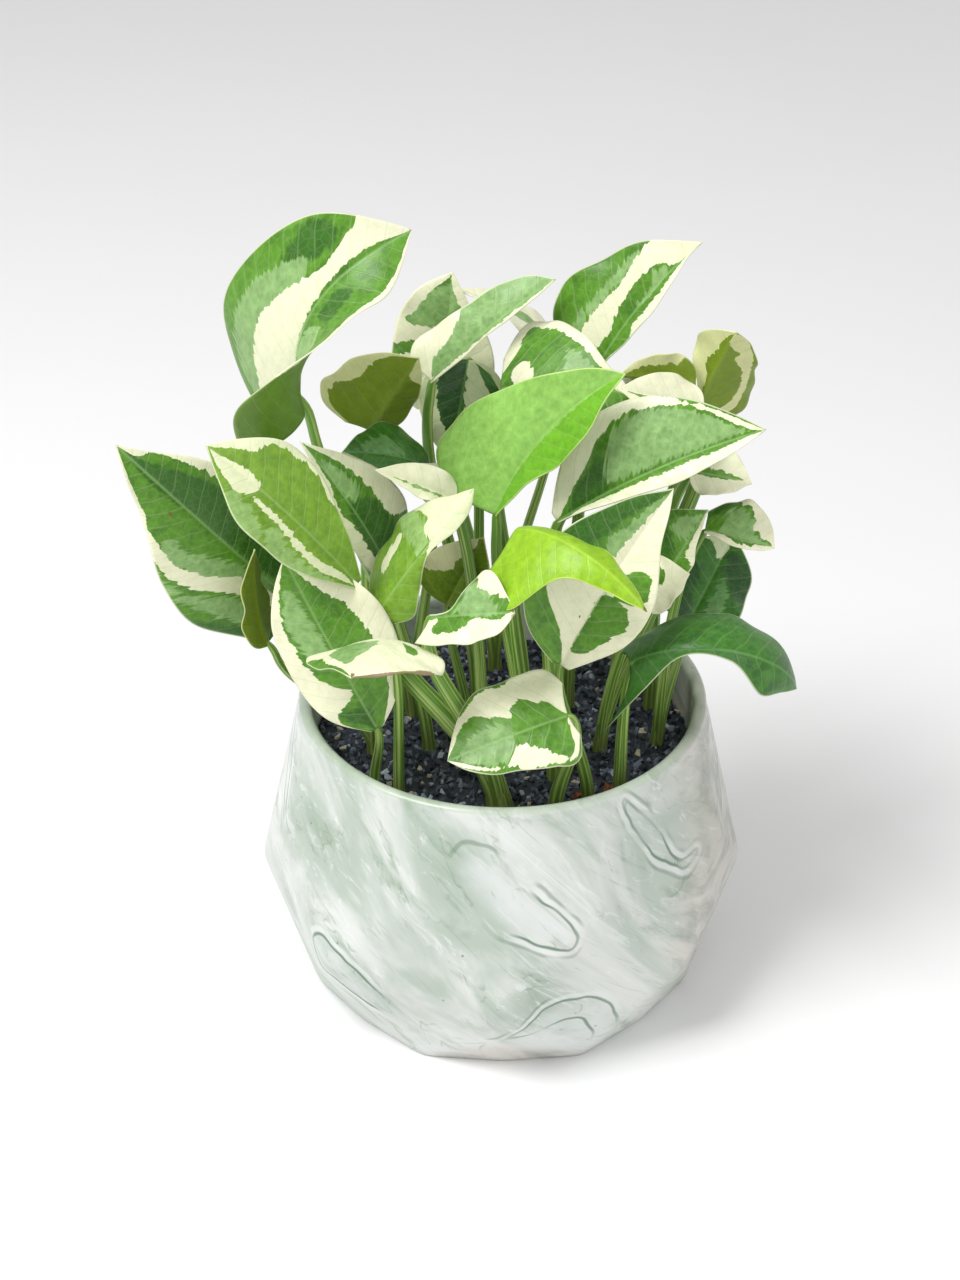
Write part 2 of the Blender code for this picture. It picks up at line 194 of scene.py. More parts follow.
def newMesh(name, points, faces, material, fields, flatFaces):
    # fields are stored on the points for the material to read; flatFaces says which faces aren't smooth
    mesh = bpy.data.meshes.new(name)
    mesh.from_pydata([tuple(p) for p in points], [], faces)
    mesh.polygons.foreach_set("use_smooth", [not f for f in flatFaces])
    for label, values in fields.items():
        values = np.asarray(values, np.float32)
        kind = "FLOAT" if values.ndim == 1 else "FLOAT_VECTOR"
        data = mesh.attributes.new(label, kind, "POINT").data
        data.foreach_set("value" if kind == "FLOAT" else "vector", values.ravel())
    mesh.materials.append(material)
    mesh.update()
    return mesh


def meshPiece(name, points, faces, material, node=None, fields=None, flatFaces=None):
    mesh = newMesh(name, points, faces, material, fields or {}, flatFaces or [False] * len(faces))
    piece = newObject(name, mesh)
    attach(piece, "root")
    if node:
        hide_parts(node)


def tubeFaces(rings, around):
    # the sides between rings of points that each go once around
    faces = []
    for k in range(rings - 1):
        for j in range(around):
            a, b = k * around + j, k * around + (j + 1) % around
            faces.append((a, a + around, b + around, b))
    return faces


# leaf blades

flat = ((-10, -10), (-10, -10))
cupped = ((-20, -20), (-20, -20))
allOver = [[(-0.2, -1.4), (-0.2, 1.4), (1.1, 1.4), (1.1, -1.4)]]

# base, tip: where the blade joins its stalk and ends, mm from the middle of the gravel's top. face: which way
# the upper side looks, as (direction round the pot, height above level). halves: widest left and right of the
# midrib, mm. left, right: widths at the widthPlaces, mm, where the margin isn't plain. fold: how the halves
# lift. curl: how they bend, left and right, at base and tip. droop, sway: bend of the midrib. widest: where a
# plain blade is widest. lobe: how far the heart lobes reach back. cream, pale, deep, rust: outlines of those
# patches and keep: green left inside the cream, all as (share of the length, share of the half width, plus
# on the left).
widthPlaces = (0, 0.1, 0.25, 0.5, 0.75, 0.9, 1)
ordinaryBlade = dict(fold=10, droop=20, sway=0, curl=flat, widest=0.35, lobe=0.07, skin="variegated",
                     cream=[], keep=[], pale=[], deep=[], rust=[])
leaves = {
    "top_left": dict(base=(-61, 2, 121), tip=(-27, 8, 174), face=(-125, 25), halves=(34, 29), fold=12,
        droop=75, sway=-70, curl=((-15, -10), (135, 10)), widest=0.4, left=(24, 29, 31, 25, 17, 7),
        right=(33, 34, 28, 19, 15, 7),
        cream=[[(-0.03, 0), (-0.03, 0.65), (0.1, 0.6), (0.3, 0.5), (0.45, 0.4), (0.6, 0.26), (0.72, 0.38),
                (0.81, 0.7), (0.86, 1.1), (1, 1.2), (1, 0.2), (0.85, 0.16), (0.7, 0.1), (0.5, 0.04),
                (0.2, 0)],
               [(0.3, -0.98), (0.45, -0.93), (0.6, -0.9), (0.75, -0.86), (0.9, -0.84), (1, -0.7), (1, -1.3),
                (0.3, -1.3)]],
        pale=[[(0, 0.5), (0, 0.85), (0.2, 0.85), (0.4, 0.75), (0.55, 0.6), (0.6, 0.45), (0.5, 0.3),
               (0.3, 0.4), (0.1, 0.5)],
              [(0.2, -0.05), (0.35, -0.05), (0.45, -0.3), (0.35, -0.55), (0.2, -0.4)]],
        deep=[[(0.5, 0.55), (0.6, 0.8), (0.72, 0.9), (0.75, 0.6), (0.65, 0.4)],
              [(0.45, -0.2), (0.6, -0.15), (0.65, -0.4), (0.5, -0.5)]]),
    "far_left": dict(base=(-65, -4, 54), tip=(-113, -22, 120), face=(-95, 35), halves=(27, 24), fold=5,
        droop=15, widest=0.42, left=(14, 18.5, 24.5, 22, 10.5, 5), right=(8, 12, 18, 20, 13.5, 5),
        cream=[[(0.72, 0.95), (0.6, 0.8), (0.5, 0.68), (0.38, 0.4), (0.25, 0.17), (0.08, 0.08),
                (0.05, 0.25), (0.2, 0.33), (0.32, 0.5), (0.45, 0.8), (0.6, 0.98), (0.68, 1.1)],
               [(0.85, -0.9), (0.75, -0.8), (0.62, -0.75), (0.5, -0.8), (0.5, -1.2), (0.9, -1.2)],
               [(1, -0.5), (0.93, -0.4), (0.9, -1), (1, -1.2)],
               [(0.7, 0.92), (0.85, 0.85), (1, 0.8), (1, 1.2), (0.7, 1.2)]],
        pale=[[(0.62, 0.6), (0.5, 0.4), (0.35, 0.1), (0.2, 0), (0.15, 0.1), (0.3, 0.35), (0.5, 0.68),
               (0.6, 0.8)],
              [(0.55, 1), (0.4, 0.8), (0.25, 0.45), (0.1, 0.4), (0.1, 0.7), (0.3, 0.8), (0.45, 1)]],
        deep=[[(0.95, -0.3), (0.7, -0.6), (0.4, -0.7), (0.1, -0.6), (0.2, -0.1), (0.6, 0), (0.85, 0.2),
               (0.95, 0)],
              [(0.4, 1.1), (0.25, 0.9), (0.1, 0.8), (0, 0.9), (0, 1.2), (0.3, 1.2)]],
        rust=[[(0.66, 0.3), (0.68, 0.33), (0.69, 0.29), (0.67, 0.27)]]),
    "left_sliver": dict(base=(-73, -22, 51), tip=(-75, -20, 84), face=(160, 20), halves=(9, 9), droop=25,
        lobe=0.05, skin="olive"),
    "mid_left": dict(base=(-44, -27, 76), tip=(-85, -34, 126), face=(-75, 50), halves=(15, 18), droop=25,
        widest=0.4, skin="fresh", left=(2, 5, 10, 13.5, 12, 5), right=(2, 5, 9, 16, 15, 7.5),
        cream=[[(0.98, 0.1), (0.88, -0.1), (0.78, -0.15), (0.7, -0.05), (0.73, 0.3), (0.8, 0.55),
                (0.88, 0.65), (0.95, 0.6)],
               [(0.7, 0.25), (0.55, 0.22), (0.4, 0.35), (0.25, 0.4), (0.1, 0.3), (0.03, 0.6), (0.2, 0.72),
                (0.35, 0.58), (0.5, 0.4), (0.63, 0.36)],
               [(1, -0.4), (0.9, -0.55), (0.8, -0.6), (0.78, -0.85), (0.65, -0.88), (0.5, -0.9),
                (0.35, -0.95), (0.35, -1.2), (0.9, -1.3), (1, -1.2)]],
        pale=[[(0.8, 0.6), (0.7, 0.5), (0.6, 0.65), (0.6, 1.1), (0.8, 1.1)],
              [(0.55, 0.5), (0.35, 0.7), (0.15, 0.8), (0.15, 1.1), (0.5, 1.1)]]),
    "low_left": dict(base=(-39, -37, 30), tip=(-66, -25, 84), face=(-95, 28), halves=(18, 18), droop=15,
        curl=cupped, widest=0.55, lobe=0.0, left=(2, 8.5, 13.5, 15, 12, 6), right=(2, 9, 16, 20, 16, 9),
        cream=[[(0.05, 0.95), (0.15, 0.85), (0.2, 0.3), (0.24, 0.1), (0.3, 0.35), (0.45, 0.6), (0.65, 0.7),
                (0.85, 0.75), (1, 0.7), (1, 1.2), (0.5, 1.3), (0.1, 1.2)],
               [(0.05, -0.8), (0.2, -0.72), (0.4, -0.65), (0.6, -0.6), (0.7, -0.5), (0.8, -0.35), (1, -0.2),
                (1, -1.2), (0.5, -1.3), (0.05, -1.2)]],
        pale=[[(0.45, 0.1), (0.5, 0.5), (0.7, 0.65), (0.85, 0.6), (0.8, 0.2), (0.6, 0.1)]],
        deep=[[(0, 0.1), (0.12, 0.7), (0.17, 0.5), (0.15, 0.1), (0.1, -0.2)]]),
    "white_left": dict(base=(-35, 0, 63), tip=(-61, -6, 113), face=(-80, 60), halves=(14, 17), droop=25,
        curl=cupped, left=(4, 6.5, 8, 8, 5, 1.8), right=(8, 14, 17, 16.5, 9.5, 3.5),
        cream=[[(0, 0.15), (0.1, 0.4), (0.25, 0.45), (0.4, 0.4), (0.5, 0.5), (0.6, 0.55), (0.7, 0.35),
                (0.85, 0.2), (1, 0), (1, 1.3), (0.5, 1.3), (0, 1.3)],
               [(0.3, -0.6), (0.45, -0.55), (0.6, -0.55), (0.75, -0.6), (0.9, -0.6), (1, -0.5), (1, -1.3),
                (0.3, -1.3)]],
        pale=[[(0.55, -0.1), (0.6, -0.4), (0.75, -0.4), (0.85, -0.3), (0.8, 0), (0.65, 0)]],
        deep=[[(0.15, 0.3), (0.5, 0.3), (0.5, -0.4), (0.2, -0.5)]]),
    "dark_left": dict(base=(-23, 19, 91), tip=(-50, 10, 101), face=(-95, 65), halves=(7, 16), fold=0,
        droop=40, curl=cupped, skin="dark",
        pale=[[(0.3, -0.1), (0.5, -0.5), (0.75, -0.45), (0.8, -0.1), (0.6, 0)]]),
    "olive_back": dict(base=(-42, 33, 97), tip=(-26, 25, 126), face=(100, 10), halves=(9, 23), skin="olive",
        right=(9, 17, 21.5, 20, 15, 7.5),
        cream=[[(0, -0.85), (0.2, -0.88), (0.35, -0.82), (0.45, -0.68), (0.6, -0.62), (0.75, -0.72),
                (0.9, -0.8), (1, -0.7), (1, -1.3), (0, -1.3)],
               [(0.75, 0.15), (0.85, 0.1), (1, 0), (1, 1.2), (0.7, 1.3), (0.68, 0.6)]],
        deep=[[(0, 0.1), (0.3, 0.1), (0.65, 0.3), (0.6, 1.2), (0, 1.2)]],
        rust=[[(0.37, -0.64), (0.41, -0.66), (0.42, -0.58), (0.38, -0.56)]]),
    "long_top": dict(base=(-23, 32, 115), tip=(16, 39, 146), face=(-105, 60), halves=(17, 12), fold=20,
        lobe=0.16, left=(8, 12.5, 12, 10, 8.5, 5), right=(1.5, 2.5, 3, 3, 2.5, 1.5),
        cream=[[(0, 0), (0.05, 0.1), (0.1, 0.28), (0.2, 0.4), (0.3, 0.55), (0.38, 0.75), (0.45, 1.0),
                (0.45, 1.3), (0, 1.3)],
               [(0.1, -0.6), (0.5, -0.7), (0.9, -0.6), (0.9, -1.3), (0.1, -1.3)]],
        pale=[[(0.05, -0.9), (0.05, 0.3), (0.3, 0.7), (0.5, 1.2), (1, 1.2), (1, -0.9)]]),
    "top_middle": dict(base=(-20, 59, 92), tip=(-16, 57, 141), face=(-90, 40), halves=(17, 16), curl=cupped,
        left=(8, 14, 17, 17.5, 14.5, 9), right=(8, 14, 16, 15, 8, 3.2),
        cream=allOver,
        keep=[[(0.62, 0.3), (0.65, 0.8), (0.72, 0.75), (0.85, 0.6), (0.9, 0.5), (0.97, 0.25), (0.95, 0.0),
               (0.85, -0.3), (0.72, -0.6), (0.66, -0.3)],
              [(0.42, 1.3), (0.5, 0.75), (0.53, 0.4), (0.48, 0.4), (0.4, 0.8)]],
        pale=[[(0.6, 0.5), (0.75, 0.9), (0.9, 0.4), (0.9, -0.2), (0.7, -0.6)]]),
    "top_behind": dict(base=(19, 62, 112), tip=(-15, 60, 134), face=(0, 75), halves=(14, 10), droop=30,
        cream=allOver,
        keep=[[(0.3, -0.3), (0.3, 0.2), (0.6, 0.3), (0.75, 0.1), (0.6, -0.3)]],
        pale=[[(0.2, -0.5), (0.2, 0.5), (0.8, 0.5), (0.8, -0.5)]]),
    "dark_middle": dict(base=(-11, 45, 116), tip=(-17, 33, 85), face=(-90, 35), halves=(14, 14), droop=10,
        skin="dark",
        cream=[[(0.15, -0.75), (0.3, -0.6), (0.45, -0.55), (0.6, -0.45), (0.75, -0.3), (0.9, -0.3),
                (0.9, -1.3), (0.2, -1.3)],
               [(0, 0.05), (0.2, 0.05), (0.4, 0.08), (0.6, 0.1), (0.8, 0.1), (1, 0), (0.8, 1.2), (0, 1.2),
                (-0.1, 0.6)]],
        keep=[[(0, 0.5), (0.1, 0.45), (0.3, 0.7), (0.3, 0.9), (0.1, 0.8)]],
        deep=[[(0, -0.1), (0.1, -0.6), (0.5, -0.5), (0.75, -0.2), (0.5, 0), (0.2, 0.05)]]),
    "arched": dict(base=(-1, 26, 115), tip=(42, 10, 120), face=(-95, 50), halves=(27, 18), fold=5, droop=50,
        curl=cupped, left=(10, 21, 23.5, 19, 8, 1.5),
        cream=[[(0.15, 0.9), (0.3, 0.85), (0.5, 0.8), (0.65, 0.72), (0.75, 0.6), (0.8, 0.2), (0.85, 0),
                (0.95, 0), (0.9, 1.2), (0.5, 1.3), (0.1, 1.2)],
               [(0, 0.5), (0.1, 0.6), (0.14, 0.8), (0.15, 1.2), (0, 1.2)],
               [(0.08, 0.3), (0.2, 0.35), (0.27, 0.1), (0.2, 0), (0.1, 0.05)]],
        pale=[[(0.45, 0.6), (0.6, 0.6), (0.75, 0.4), (0.7, 0.1), (0.5, 0.2)]]),
    # big_middle's pale patch over its whole left half is painted light: that half is drawn lighter, as if
    # lit, and the right half stays darker
    "big_middle": dict(base=(-3, -8, 89), tip=(35, -12, 138), face=(-115, 45), halves=(23, 18), fold=22,
        droop=10, sway=-40, curl=cupped, skin="plain", left=(12, 25, 26, 18.5, 10, 5),
        right=(1, 4, 8, 12.5, 10.5, 4),
        pale=[[(-0.1, 0.05), (1.1, 0.05), (1.1, 1.4), (-0.1, 1.4)]]),
    "big_right": dict(base=(16, -12, 89), tip=(76, -18, 123), face=(-95, 45), halves=(25, 16), fold=20,
        droop=15, sway=-12, curl=cupped, left=(3, 11, 20, 22.5, 15, 6.5), right=(0.5, 1.5, 4, 6.5, 6, 3),
        cream=[[(0, 0.2), (0.08, 0.35), (0.18, 0.45), (0.3, 0.62), (0.4, 0.78), (0.55, 0.84), (0.7, 0.86),
                (0.8, 0.8), (0.88, 0.6), (0.95, 0.3), (1, 0.2), (0.97, 0.7), (0.85, 0.9), (0.7, 0.95),
                (0.5, 1.05), (0.3, 1.2), (0, 1.2)],
               [(0.1, -0.3), (0.25, -0.35), (0.45, -0.35), (0.65, -0.3), (0.8, -0.35), (0.95, -0.3),
                (0.97, -1), (0.8, -1.3), (0.4, -1.3), (0.1, -1.3)]],
        pale=[[(0.3, 0.1), (0.35, 0.5), (0.45, 0.75), (0.6, 0.8), (0.8, 0.7), (0.92, 0.2), (0.7, 0.05),
               (0.5, 0.05)]],
        deep=[[(0.08, 0), (0.12, 0.3), (0.25, 0.45), (0.33, 0.4), (0.3, 0.1), (0.2, 0)]]),
    "top_right": dict(base=(29, 32, 119), tip=(60, 34, 160), face=(-125, 30), halves=(24, 11), fold=20,
        droop=5, sway=-20, curl=cupped, left=(12, 20, 24, 19, 12.5, 5), right=(1.5, 2.5, 4.5, 6, 3, 0.5),
        cream=[[(0.02, 0.05), (0.1, 0.15), (0.25, 0.12), (0.45, 0.25), (0.6, 0.33), (0.72, 0.3),
                (0.8, 0.05), (1, 0), (1, 1.3), (0.85, 1.2), (0.78, 1.0), (0.7, 0.75), (0.6, 0.6),
                (0.5, 0.47), (0.35, 0.42), (0.25, 0.42), (0.1, 0.5), (0, 0.5)],
               [(0.35, -0.6), (0.5, -0.55), (0.7, -0.55), (0.85, -0.3), (1, 0), (1, -1.3), (0.5, -1.3),
                (0.3, -1.2)]],
        pale=[[(0.1, 0.5), (0.3, 0.42), (0.5, 0.5), (0.65, 0.6), (0.72, 0.75), (0.65, 0.8), (0.5, 0.65),
               (0.3, 0.55), (0.1, 0.65)],
              [(0.45, 0), (0.6, 0.1), (0.7, 0.25), (0.75, 0.1), (0.6, -0.2)]]),
    "far_right": dict(base=(61, 26, 110), tip=(71, 24, 135), face=(80, 10), halves=(15, 16), fold=15,
        droop=25, curl=((30, 30), (30, 30)), widest=0.45, skin="olive", left=(14, 18, 19.5, 15.5, 10, 5.5),
        right=(0.5, 1.5, 4, 9, 9.5, 5),
        cream=[[(0, 0.5), (0.15, 0.55), (0.3, 0.58), (0.45, 0.62), (0.55, 0.5), (0.65, 0.35), (0.7, 0.5),
                (0.75, 0.3), (0.8, 0.05), (0.9, -0.05), (1, 0), (0.95, 0.9), (0.8, 0.9), (0.6, 0.85),
                (0.4, 0.8), (0.2, 0.75), (0, 0.75)],
               [(0.05, -0.3), (0.3, -0.25), (0.5, -0.4), (0.7, -0.25), (0.9, -0.3), (1, -0.2), (1, -1.3),
                (0, -1.3)]]),
    "olive_right": dict(base=(59, 23, 117), tip=(35, 19, 123), face=(80, 10), halves=(9, 12), fold=25,
        skin="olive",
        cream=[[(0, -0.6), (0.4, -0.5), (1, -0.3), (1, -1.3), (0, -1.3)],
               [(0.3, 0.7), (0.8, 0.5), (1, 0.3), (1, 1.3), (0.3, 1.3)]]),
    "right_sliver": dict(base=(61, 13, 114), tip=(34, 7, 124), face=(-90, 60), halves=(12, 9), fold=20,
        droop=10,
        cream=allOver,
        keep=[[(0.1, 0.1), (0.3, 0.5), (0.7, 0.4), (0.9, 0.1), (0.6, 0.05), (0.3, -0.1)]]),
    "small_right": dict(base=(58, 7, 96), tip=(76, 1, 95), face=(-90, 60), halves=(11, 8), droop=10,
        cream=allOver,
        keep=[[(0.05, -0.1), (0.2, 0.15), (0.5, 0.2), (0.85, 0.1), (0.6, -0.1), (0.3, -0.15)]]),
    "side_right": dict(base=(62, -3, 81), tip=(83, -9, 78), face=(-90, 55), halves=(13, 7), droop=30,
        curl=cupped, left=(6, 8.5, 11, 12.8, 9.8, 6), right=(1, 1.5, 2.5, 4, 3, 1.8),
        cream=[[(0.35, 1.0), (0.45, 0.85), (0.55, 0.8), (0.62, 0.6), (0.65, 0.3), (0.72, 0.35), (0.8, 0.15),
                (0.9, 0.2), (1, 0), (1, 1.3), (0.35, 1.3)],
               [(0.05, -0.2), (0.3, -0.3), (0.5, -0.7), (0.8, -0.4), (1, 0), (1, -1.3), (0, -1.3)]],
        pale=[[(0.2, 0.1), (0.35, 0.7), (0.6, 0.6), (0.7, 0.2), (0.9, 0), (0.6, -0.4), (0.3, -0.1)]],
        deep=[[(0, 0.6), (0.3, 0.8), (0.3, 1.1), (0, 1.1)]]),
    "dark_right": dict(base=(59, 3, 42), tip=(73, 12, 71), face=(-90, 35), halves=(17, 17), fold=8,
        curl=cupped, widest=0.45, lobe=0.1, skin="dark", right=(8, 12, 13.5, 13, 10.5, 5),
        cream=[[(0.78, -0.05), (0.72, 0.1), (0.8, 0.3), (0.85, 0.6), (0.85, 1.0), (0.95, 1.1), (0.95, 0.2),
                (0.92, -0.1)]],
        pale=[[(0.2, -0.3), (0.5, -0.2), (0.6, -0.35), (0.3, -0.6)]],
        deep=[[(0, 0.2), (0.3, 0.2), (0.6, 0.3), (0.5, 1.1), (0, 1.1)],
              [(0.6, -0.3), (0.85, -0.2), (0.8, -1.1), (0.4, -1.1)]]),
    "back_right": dict(base=(50, -15, 73), tip=(62, -9, 91.5), face=(-90, 40), halves=(15, 15), fold=8,
        droop=10, curl=cupped, right=(3, 5, 5.5, 3, 1.5, 0.5),
        cream=[[(0.3, -0.4), (0.5, -0.3), (0.8, -0.2), (1, 0), (1, -1.3), (0.3, -1.3)]],
        pale=[[(0.5, 0.1), (0.9, 0.1), (0.8, 0.5), (0.55, 0.5)]],
        deep=[[(0.1, 0.2), (0.4, 0.2), (0.5, 0.8), (0.2, 1)]]),
    "tip_right": dict(base=(42, -19, 66), tip=(56, -21, 76), face=(-90, 55), halves=(12, 8), fold=15,
        droop=10,
        cream=allOver,
        keep=[[(0.15, 0.1), (0.2, 0.6), (0.5, 0.7), (0.6, 0.3), (0.4, 0.05)]]),
    "front_right": dict(base=(17, -36, 53), tip=(49, -28, 109), face=(-85, 30), halves=(23, 21), fold=18,
        droop=5, sway=-8, left=(3, 13, 21, 23, 15, 7), right=(3, 8, 14, 15, 7, 3.3),
        cream=[[(0.02, 0.1), (0.15, 0.3), (0.3, 0.65), (0.45, 0.75), (0.48, 0.45), (0.45, 0.15),
                (0.3, 0.12), (0.12, 0.03)],
               [(-0.05, 0), (1, 0), (1, -1.3), (-0.05, -1.3)]],
        keep=[[(0.1, -0.05), (0.1, -0.5), (0.2, -0.65), (0.32, -0.75), (0.4, -0.6), (0.42, -0.3),
               (0.4, -0.02), (0.25, -0.02)],
              [(0.42, -0.25), (0.45, -0.7), (0.52, -0.85), (0.6, -0.8), (0.6, -0.45), (0.52, -0.15)]],
        pale=[[(0.6, 0.1), (0.62, 0.35), (0.8, 0.35), (0.95, 0.3), (0.97, 0.05), (0.8, 0.05)]],
        deep=[[(0.5, 0.4), (0.6, 0.5), (0.8, 0.5), (0.95, 0.4), (0.9, 1.1), (0.5, 1.1)]]),
    "lime": dict(base=(3, -29, 96), tip=(40, -59, 86), face=(-80, 60), halves=(10, 23), fold=-20, droop=85,
        curl=((-60, -20), (-15, -10)), widest=0.22, lobe=0.2, skin="lime", left=(8, 10, 9, 8, 5, 2.5),
        right=(14, 19, 25, 10.5, 5, 2.5),
        rust=[[(0.985, -1.5), (0.985, 1.5), (1.1, 1.5), (1.1, -1.5)]]),
    "hooked": dict(base=(38, -32, 51), tip=(90, -30, 40), face=(-90, 60), halves=(13, 16), fold=(-4, -28),
        droop=135, curl=((-40, -20), (-20, -20)), widest=0.4, lobe=0.5, skin="dark",
        left=(6, 11, 16, 17, 14, 7), right=(15, 10, 3, 3, 10, 5)),
    "front": dict(base=(19, -50, 44), tip=(-17, -58, 33), face=(-90, 55), halves=(11, 14), fold=5, droop=15,
        curl=cupped, lobe=0.1, left=(7, 14, 13.5, 11, 8.5, 4.5), right=(10, 17, 18.5, 18, 14.5, 6.5),
        cream=[[(1, -0.7), (0.93, -0.6), (0.85, -0.68), (0.75, -0.66), (0.62, -0.5), (0.5, -0.36),
                (0.42, -0.33), (0.36, -0.52), (0.25, -0.45), (0.12, -0.3), (0.02, -0.1), (-0.1, -0.2),
                (-0.1, -1.4), (0.5, -1.3), (1, -1.2)],
               [(0.98, 0.5), (0.8, 0.72), (0.6, 0.78), (0.52, 0.6), (0.45, 0.35), (0.4, 0.3), (0.36, 0.42),
                (0.3, 0.5), (0.2, 0.72), (0.1, 0.78), (0.02, 0.45), (0, 0.1), (-0.1, 0.2), (-0.1, 1.3),
                (0.5, 1.3), (1, 1.2)]],
        keep=[[(0.35, -0.97), (0.5, -0.93), (0.7, -0.9), (0.8, -0.95), (0.8, -1.3), (0.35, -1.3)],
              [(0, 0.93), (0.2, 0.93), (0.38, 0.95), (0.38, 1.3), (0, 1.3)],
              [(0.5, 0.88), (0.75, 0.86), (0.95, 0.9), (0.95, 1.3), (0.5, 1.3)]],
        pale=[[(0.45, 0.3), (0.5, -0.2), (0.75, -0.3), (0.9, 0), (0.85, 0.6), (0.6, 0.7)]]),
    "small_middle": dict(base=(-22, -43, 74), tip=(3, -53, 82), face=(-100, 50), halves=(15, 10), fold=12,
        droop=10, curl=((0, 0), (0, 0)), widest=0.45, lobe=0.2, left=(1, 1, 2, 10, 12, 5.5),
        right=(8, 9.3, 10, 9.5, 8.5, 5.5),
        cream=[[(0.56, 1.2), (0.6, 0.62), (0.68, 0.5), (0.78, 0.5), (0.88, 0.7), (0.92, 1.2), (0.7, 1.4)],
               [(-0.2, 0.5), (-0.2, -0.1), (0.08, -0.1), (0.09, -0.5), (0.2, -0.62), (0.35, -0.58),
                (0.45, -0.45), (0.5, -0.25), (0.65, -0.2), (0.85, -0.25), (0.93, -0.05), (1, 0), (1, -1.3),
                (0.5, -1.3), (-0.2, -1.3)]],
        pale=[[(0.3, 0.3), (0.5, 0.9), (0.7, 0.5), (0.8, 0), (0.5, -0.1)]],
        rust=[[(-0.06, -0.55), (-0.02, -0.6), (-0.02, -0.5), (-0.05, -0.48)],
              [(0.98, -1.5), (0.98, 1.5), (1.1, 1.5), (1.1, -1.5)]]),
    "torn": dict(base=(-34, -42, 66), tip=(-44, -66, 68), face=(-130, 65), halves=(22, 24), fold=-5,
        droop=30, curl=cupped,
        cream=allOver,
        keep=[[(0.15, -0.1), (0.15, -0.45), (0.4, -0.6), (0.6, -0.55), (0.75, -0.3), (0.6, -0.15),
               (0.4, -0.05)],
              [(0.5, -0.8), (0.7, -0.7), (0.9, -0.5), (1, -0.6), (0.9, -1.2), (0.5, -1.3)],
              [(0.1, 0.35), (0.15, 0.55), (0.3, 0.55), (0.3, 0.4)]],
        pale=[[(0.1, 0), (0.1, -0.5), (0.5, -0.7), (0.8, -0.3), (0.5, 0)]],
        rust=[[(0.5, 0.93), (0.62, 0.86), (0.75, 0.9), (0.85, 0.74), (0.93, 0.72), (1, 0.5), (1, 1.3),
               (0.5, 1.3)],
              [(0.93, -0.2), (0.96, 0.2), (1.1, 0.4), (1.1, -0.5)]]),
    "curled": dict(base=(-38, -27, 66), tip=(-9, -17, 103), face=(-110, 40), halves=(20, 14), fold=-25,
        curl=cupped, skin="fresh", right=(6, 9.5, 7, 2, 4, 3),
        cream=[[(0.2, 0.45), (0.35, 0.5), (0.45, 0.6), (0.45, 0.75), (0.3, 0.7), (0.2, 0.6)],
               [(0.5, -1.3), (0.56, -0.1), (0.6, 0.3), (0.66, 0.5), (0.66, 0.75), (0.62, 1.3), (1, 1.3),
                (1, -1.3)]],
        pale=[[(0.5, -0.4), (0.58, 0.2), (0.64, 0.6), (0.6, 1.2), (0.5, 1.2), (0.45, 0.3)]]),
    "rolled": dict(base=(-15, -2, 91), tip=(-39, -7, 104), face=(-90, 50), halves=(5, 7), fold=30,
        cream=allOver,
        keep=[[(0.1, 0.2), (0.4, 0.5), (0.8, 0.3), (0.5, 0.1)]],
        pale=[[(0.1, 0), (0.4, 0.7), (0.9, 0.4), (0.5, 0)]]),
    "behind_rolled": dict(base=(-13, 8, 82), tip=(-31, 8, 97), face=(-60, 60), halves=(8, 10), droop=10,
        cream=allOver,
        keep=[[(0.1, 0), (0.3, 0.4), (0.8, 0.3), (0.9, 0.05), (0.5, -0.2)]]),
    "gap_middle": dict(base=(-18, 10, 46), tip=(-6, 10, 71), face=(-90, 45), halves=(14, 12), fold=20,
        droop=10, skin="olive",
        cream=[[(0.4, 0.4), (0.7, 0.3), (0.9, 0.2), (0.9, 1.2), (0.4, 1.2)]]),
}
leaves = {name: {**ordinaryBlade, **leaf} for name, leaf in leaves.items()}
bladeBuild = {
    "rows": 72, "columns": 44, "crowding": 1.25,                # points, closer together at the midrib
    "thickness": 0.55, "edgeShare": 0.55, "underRib": 0.35, "underRibWidth": 0.9,
    "grooveDepth": 0.35, "grooveWidth": 1.1, "quilting": 0.16, "wave": 0.7,
    "veinSpacing": 5.5, "veinSlope": 0.62, "veinBend": 0.006,
    "fullness": 1.45, "stub": 0.12, "drip": 0.30, "dripLength": 0.22,
}


def unit(v):
    return v / np.linalg.norm(v)


def facing(turn, lift):
    turn, lift = np.radians((turn, lift))
    return np.array((np.cos(turn) * np.cos(lift), np.sin(turn) * np.cos(lift), np.sin(lift)))


def crownPoint(p):
    return np.array(p) * mm + (0, 0, gravelTop)


def bladeLength(leaf):
    return np.linalg.norm(crownPoint(leaf["tip"]) - crownPoint(leaf["base"]))


def axes(ahead, upper):
    # three square directions: ahead, left and up
    x = unit(ahead)
    z = unit(upper - x * (upper @ x))
    return np.stack([x, np.cross(z, x), z])


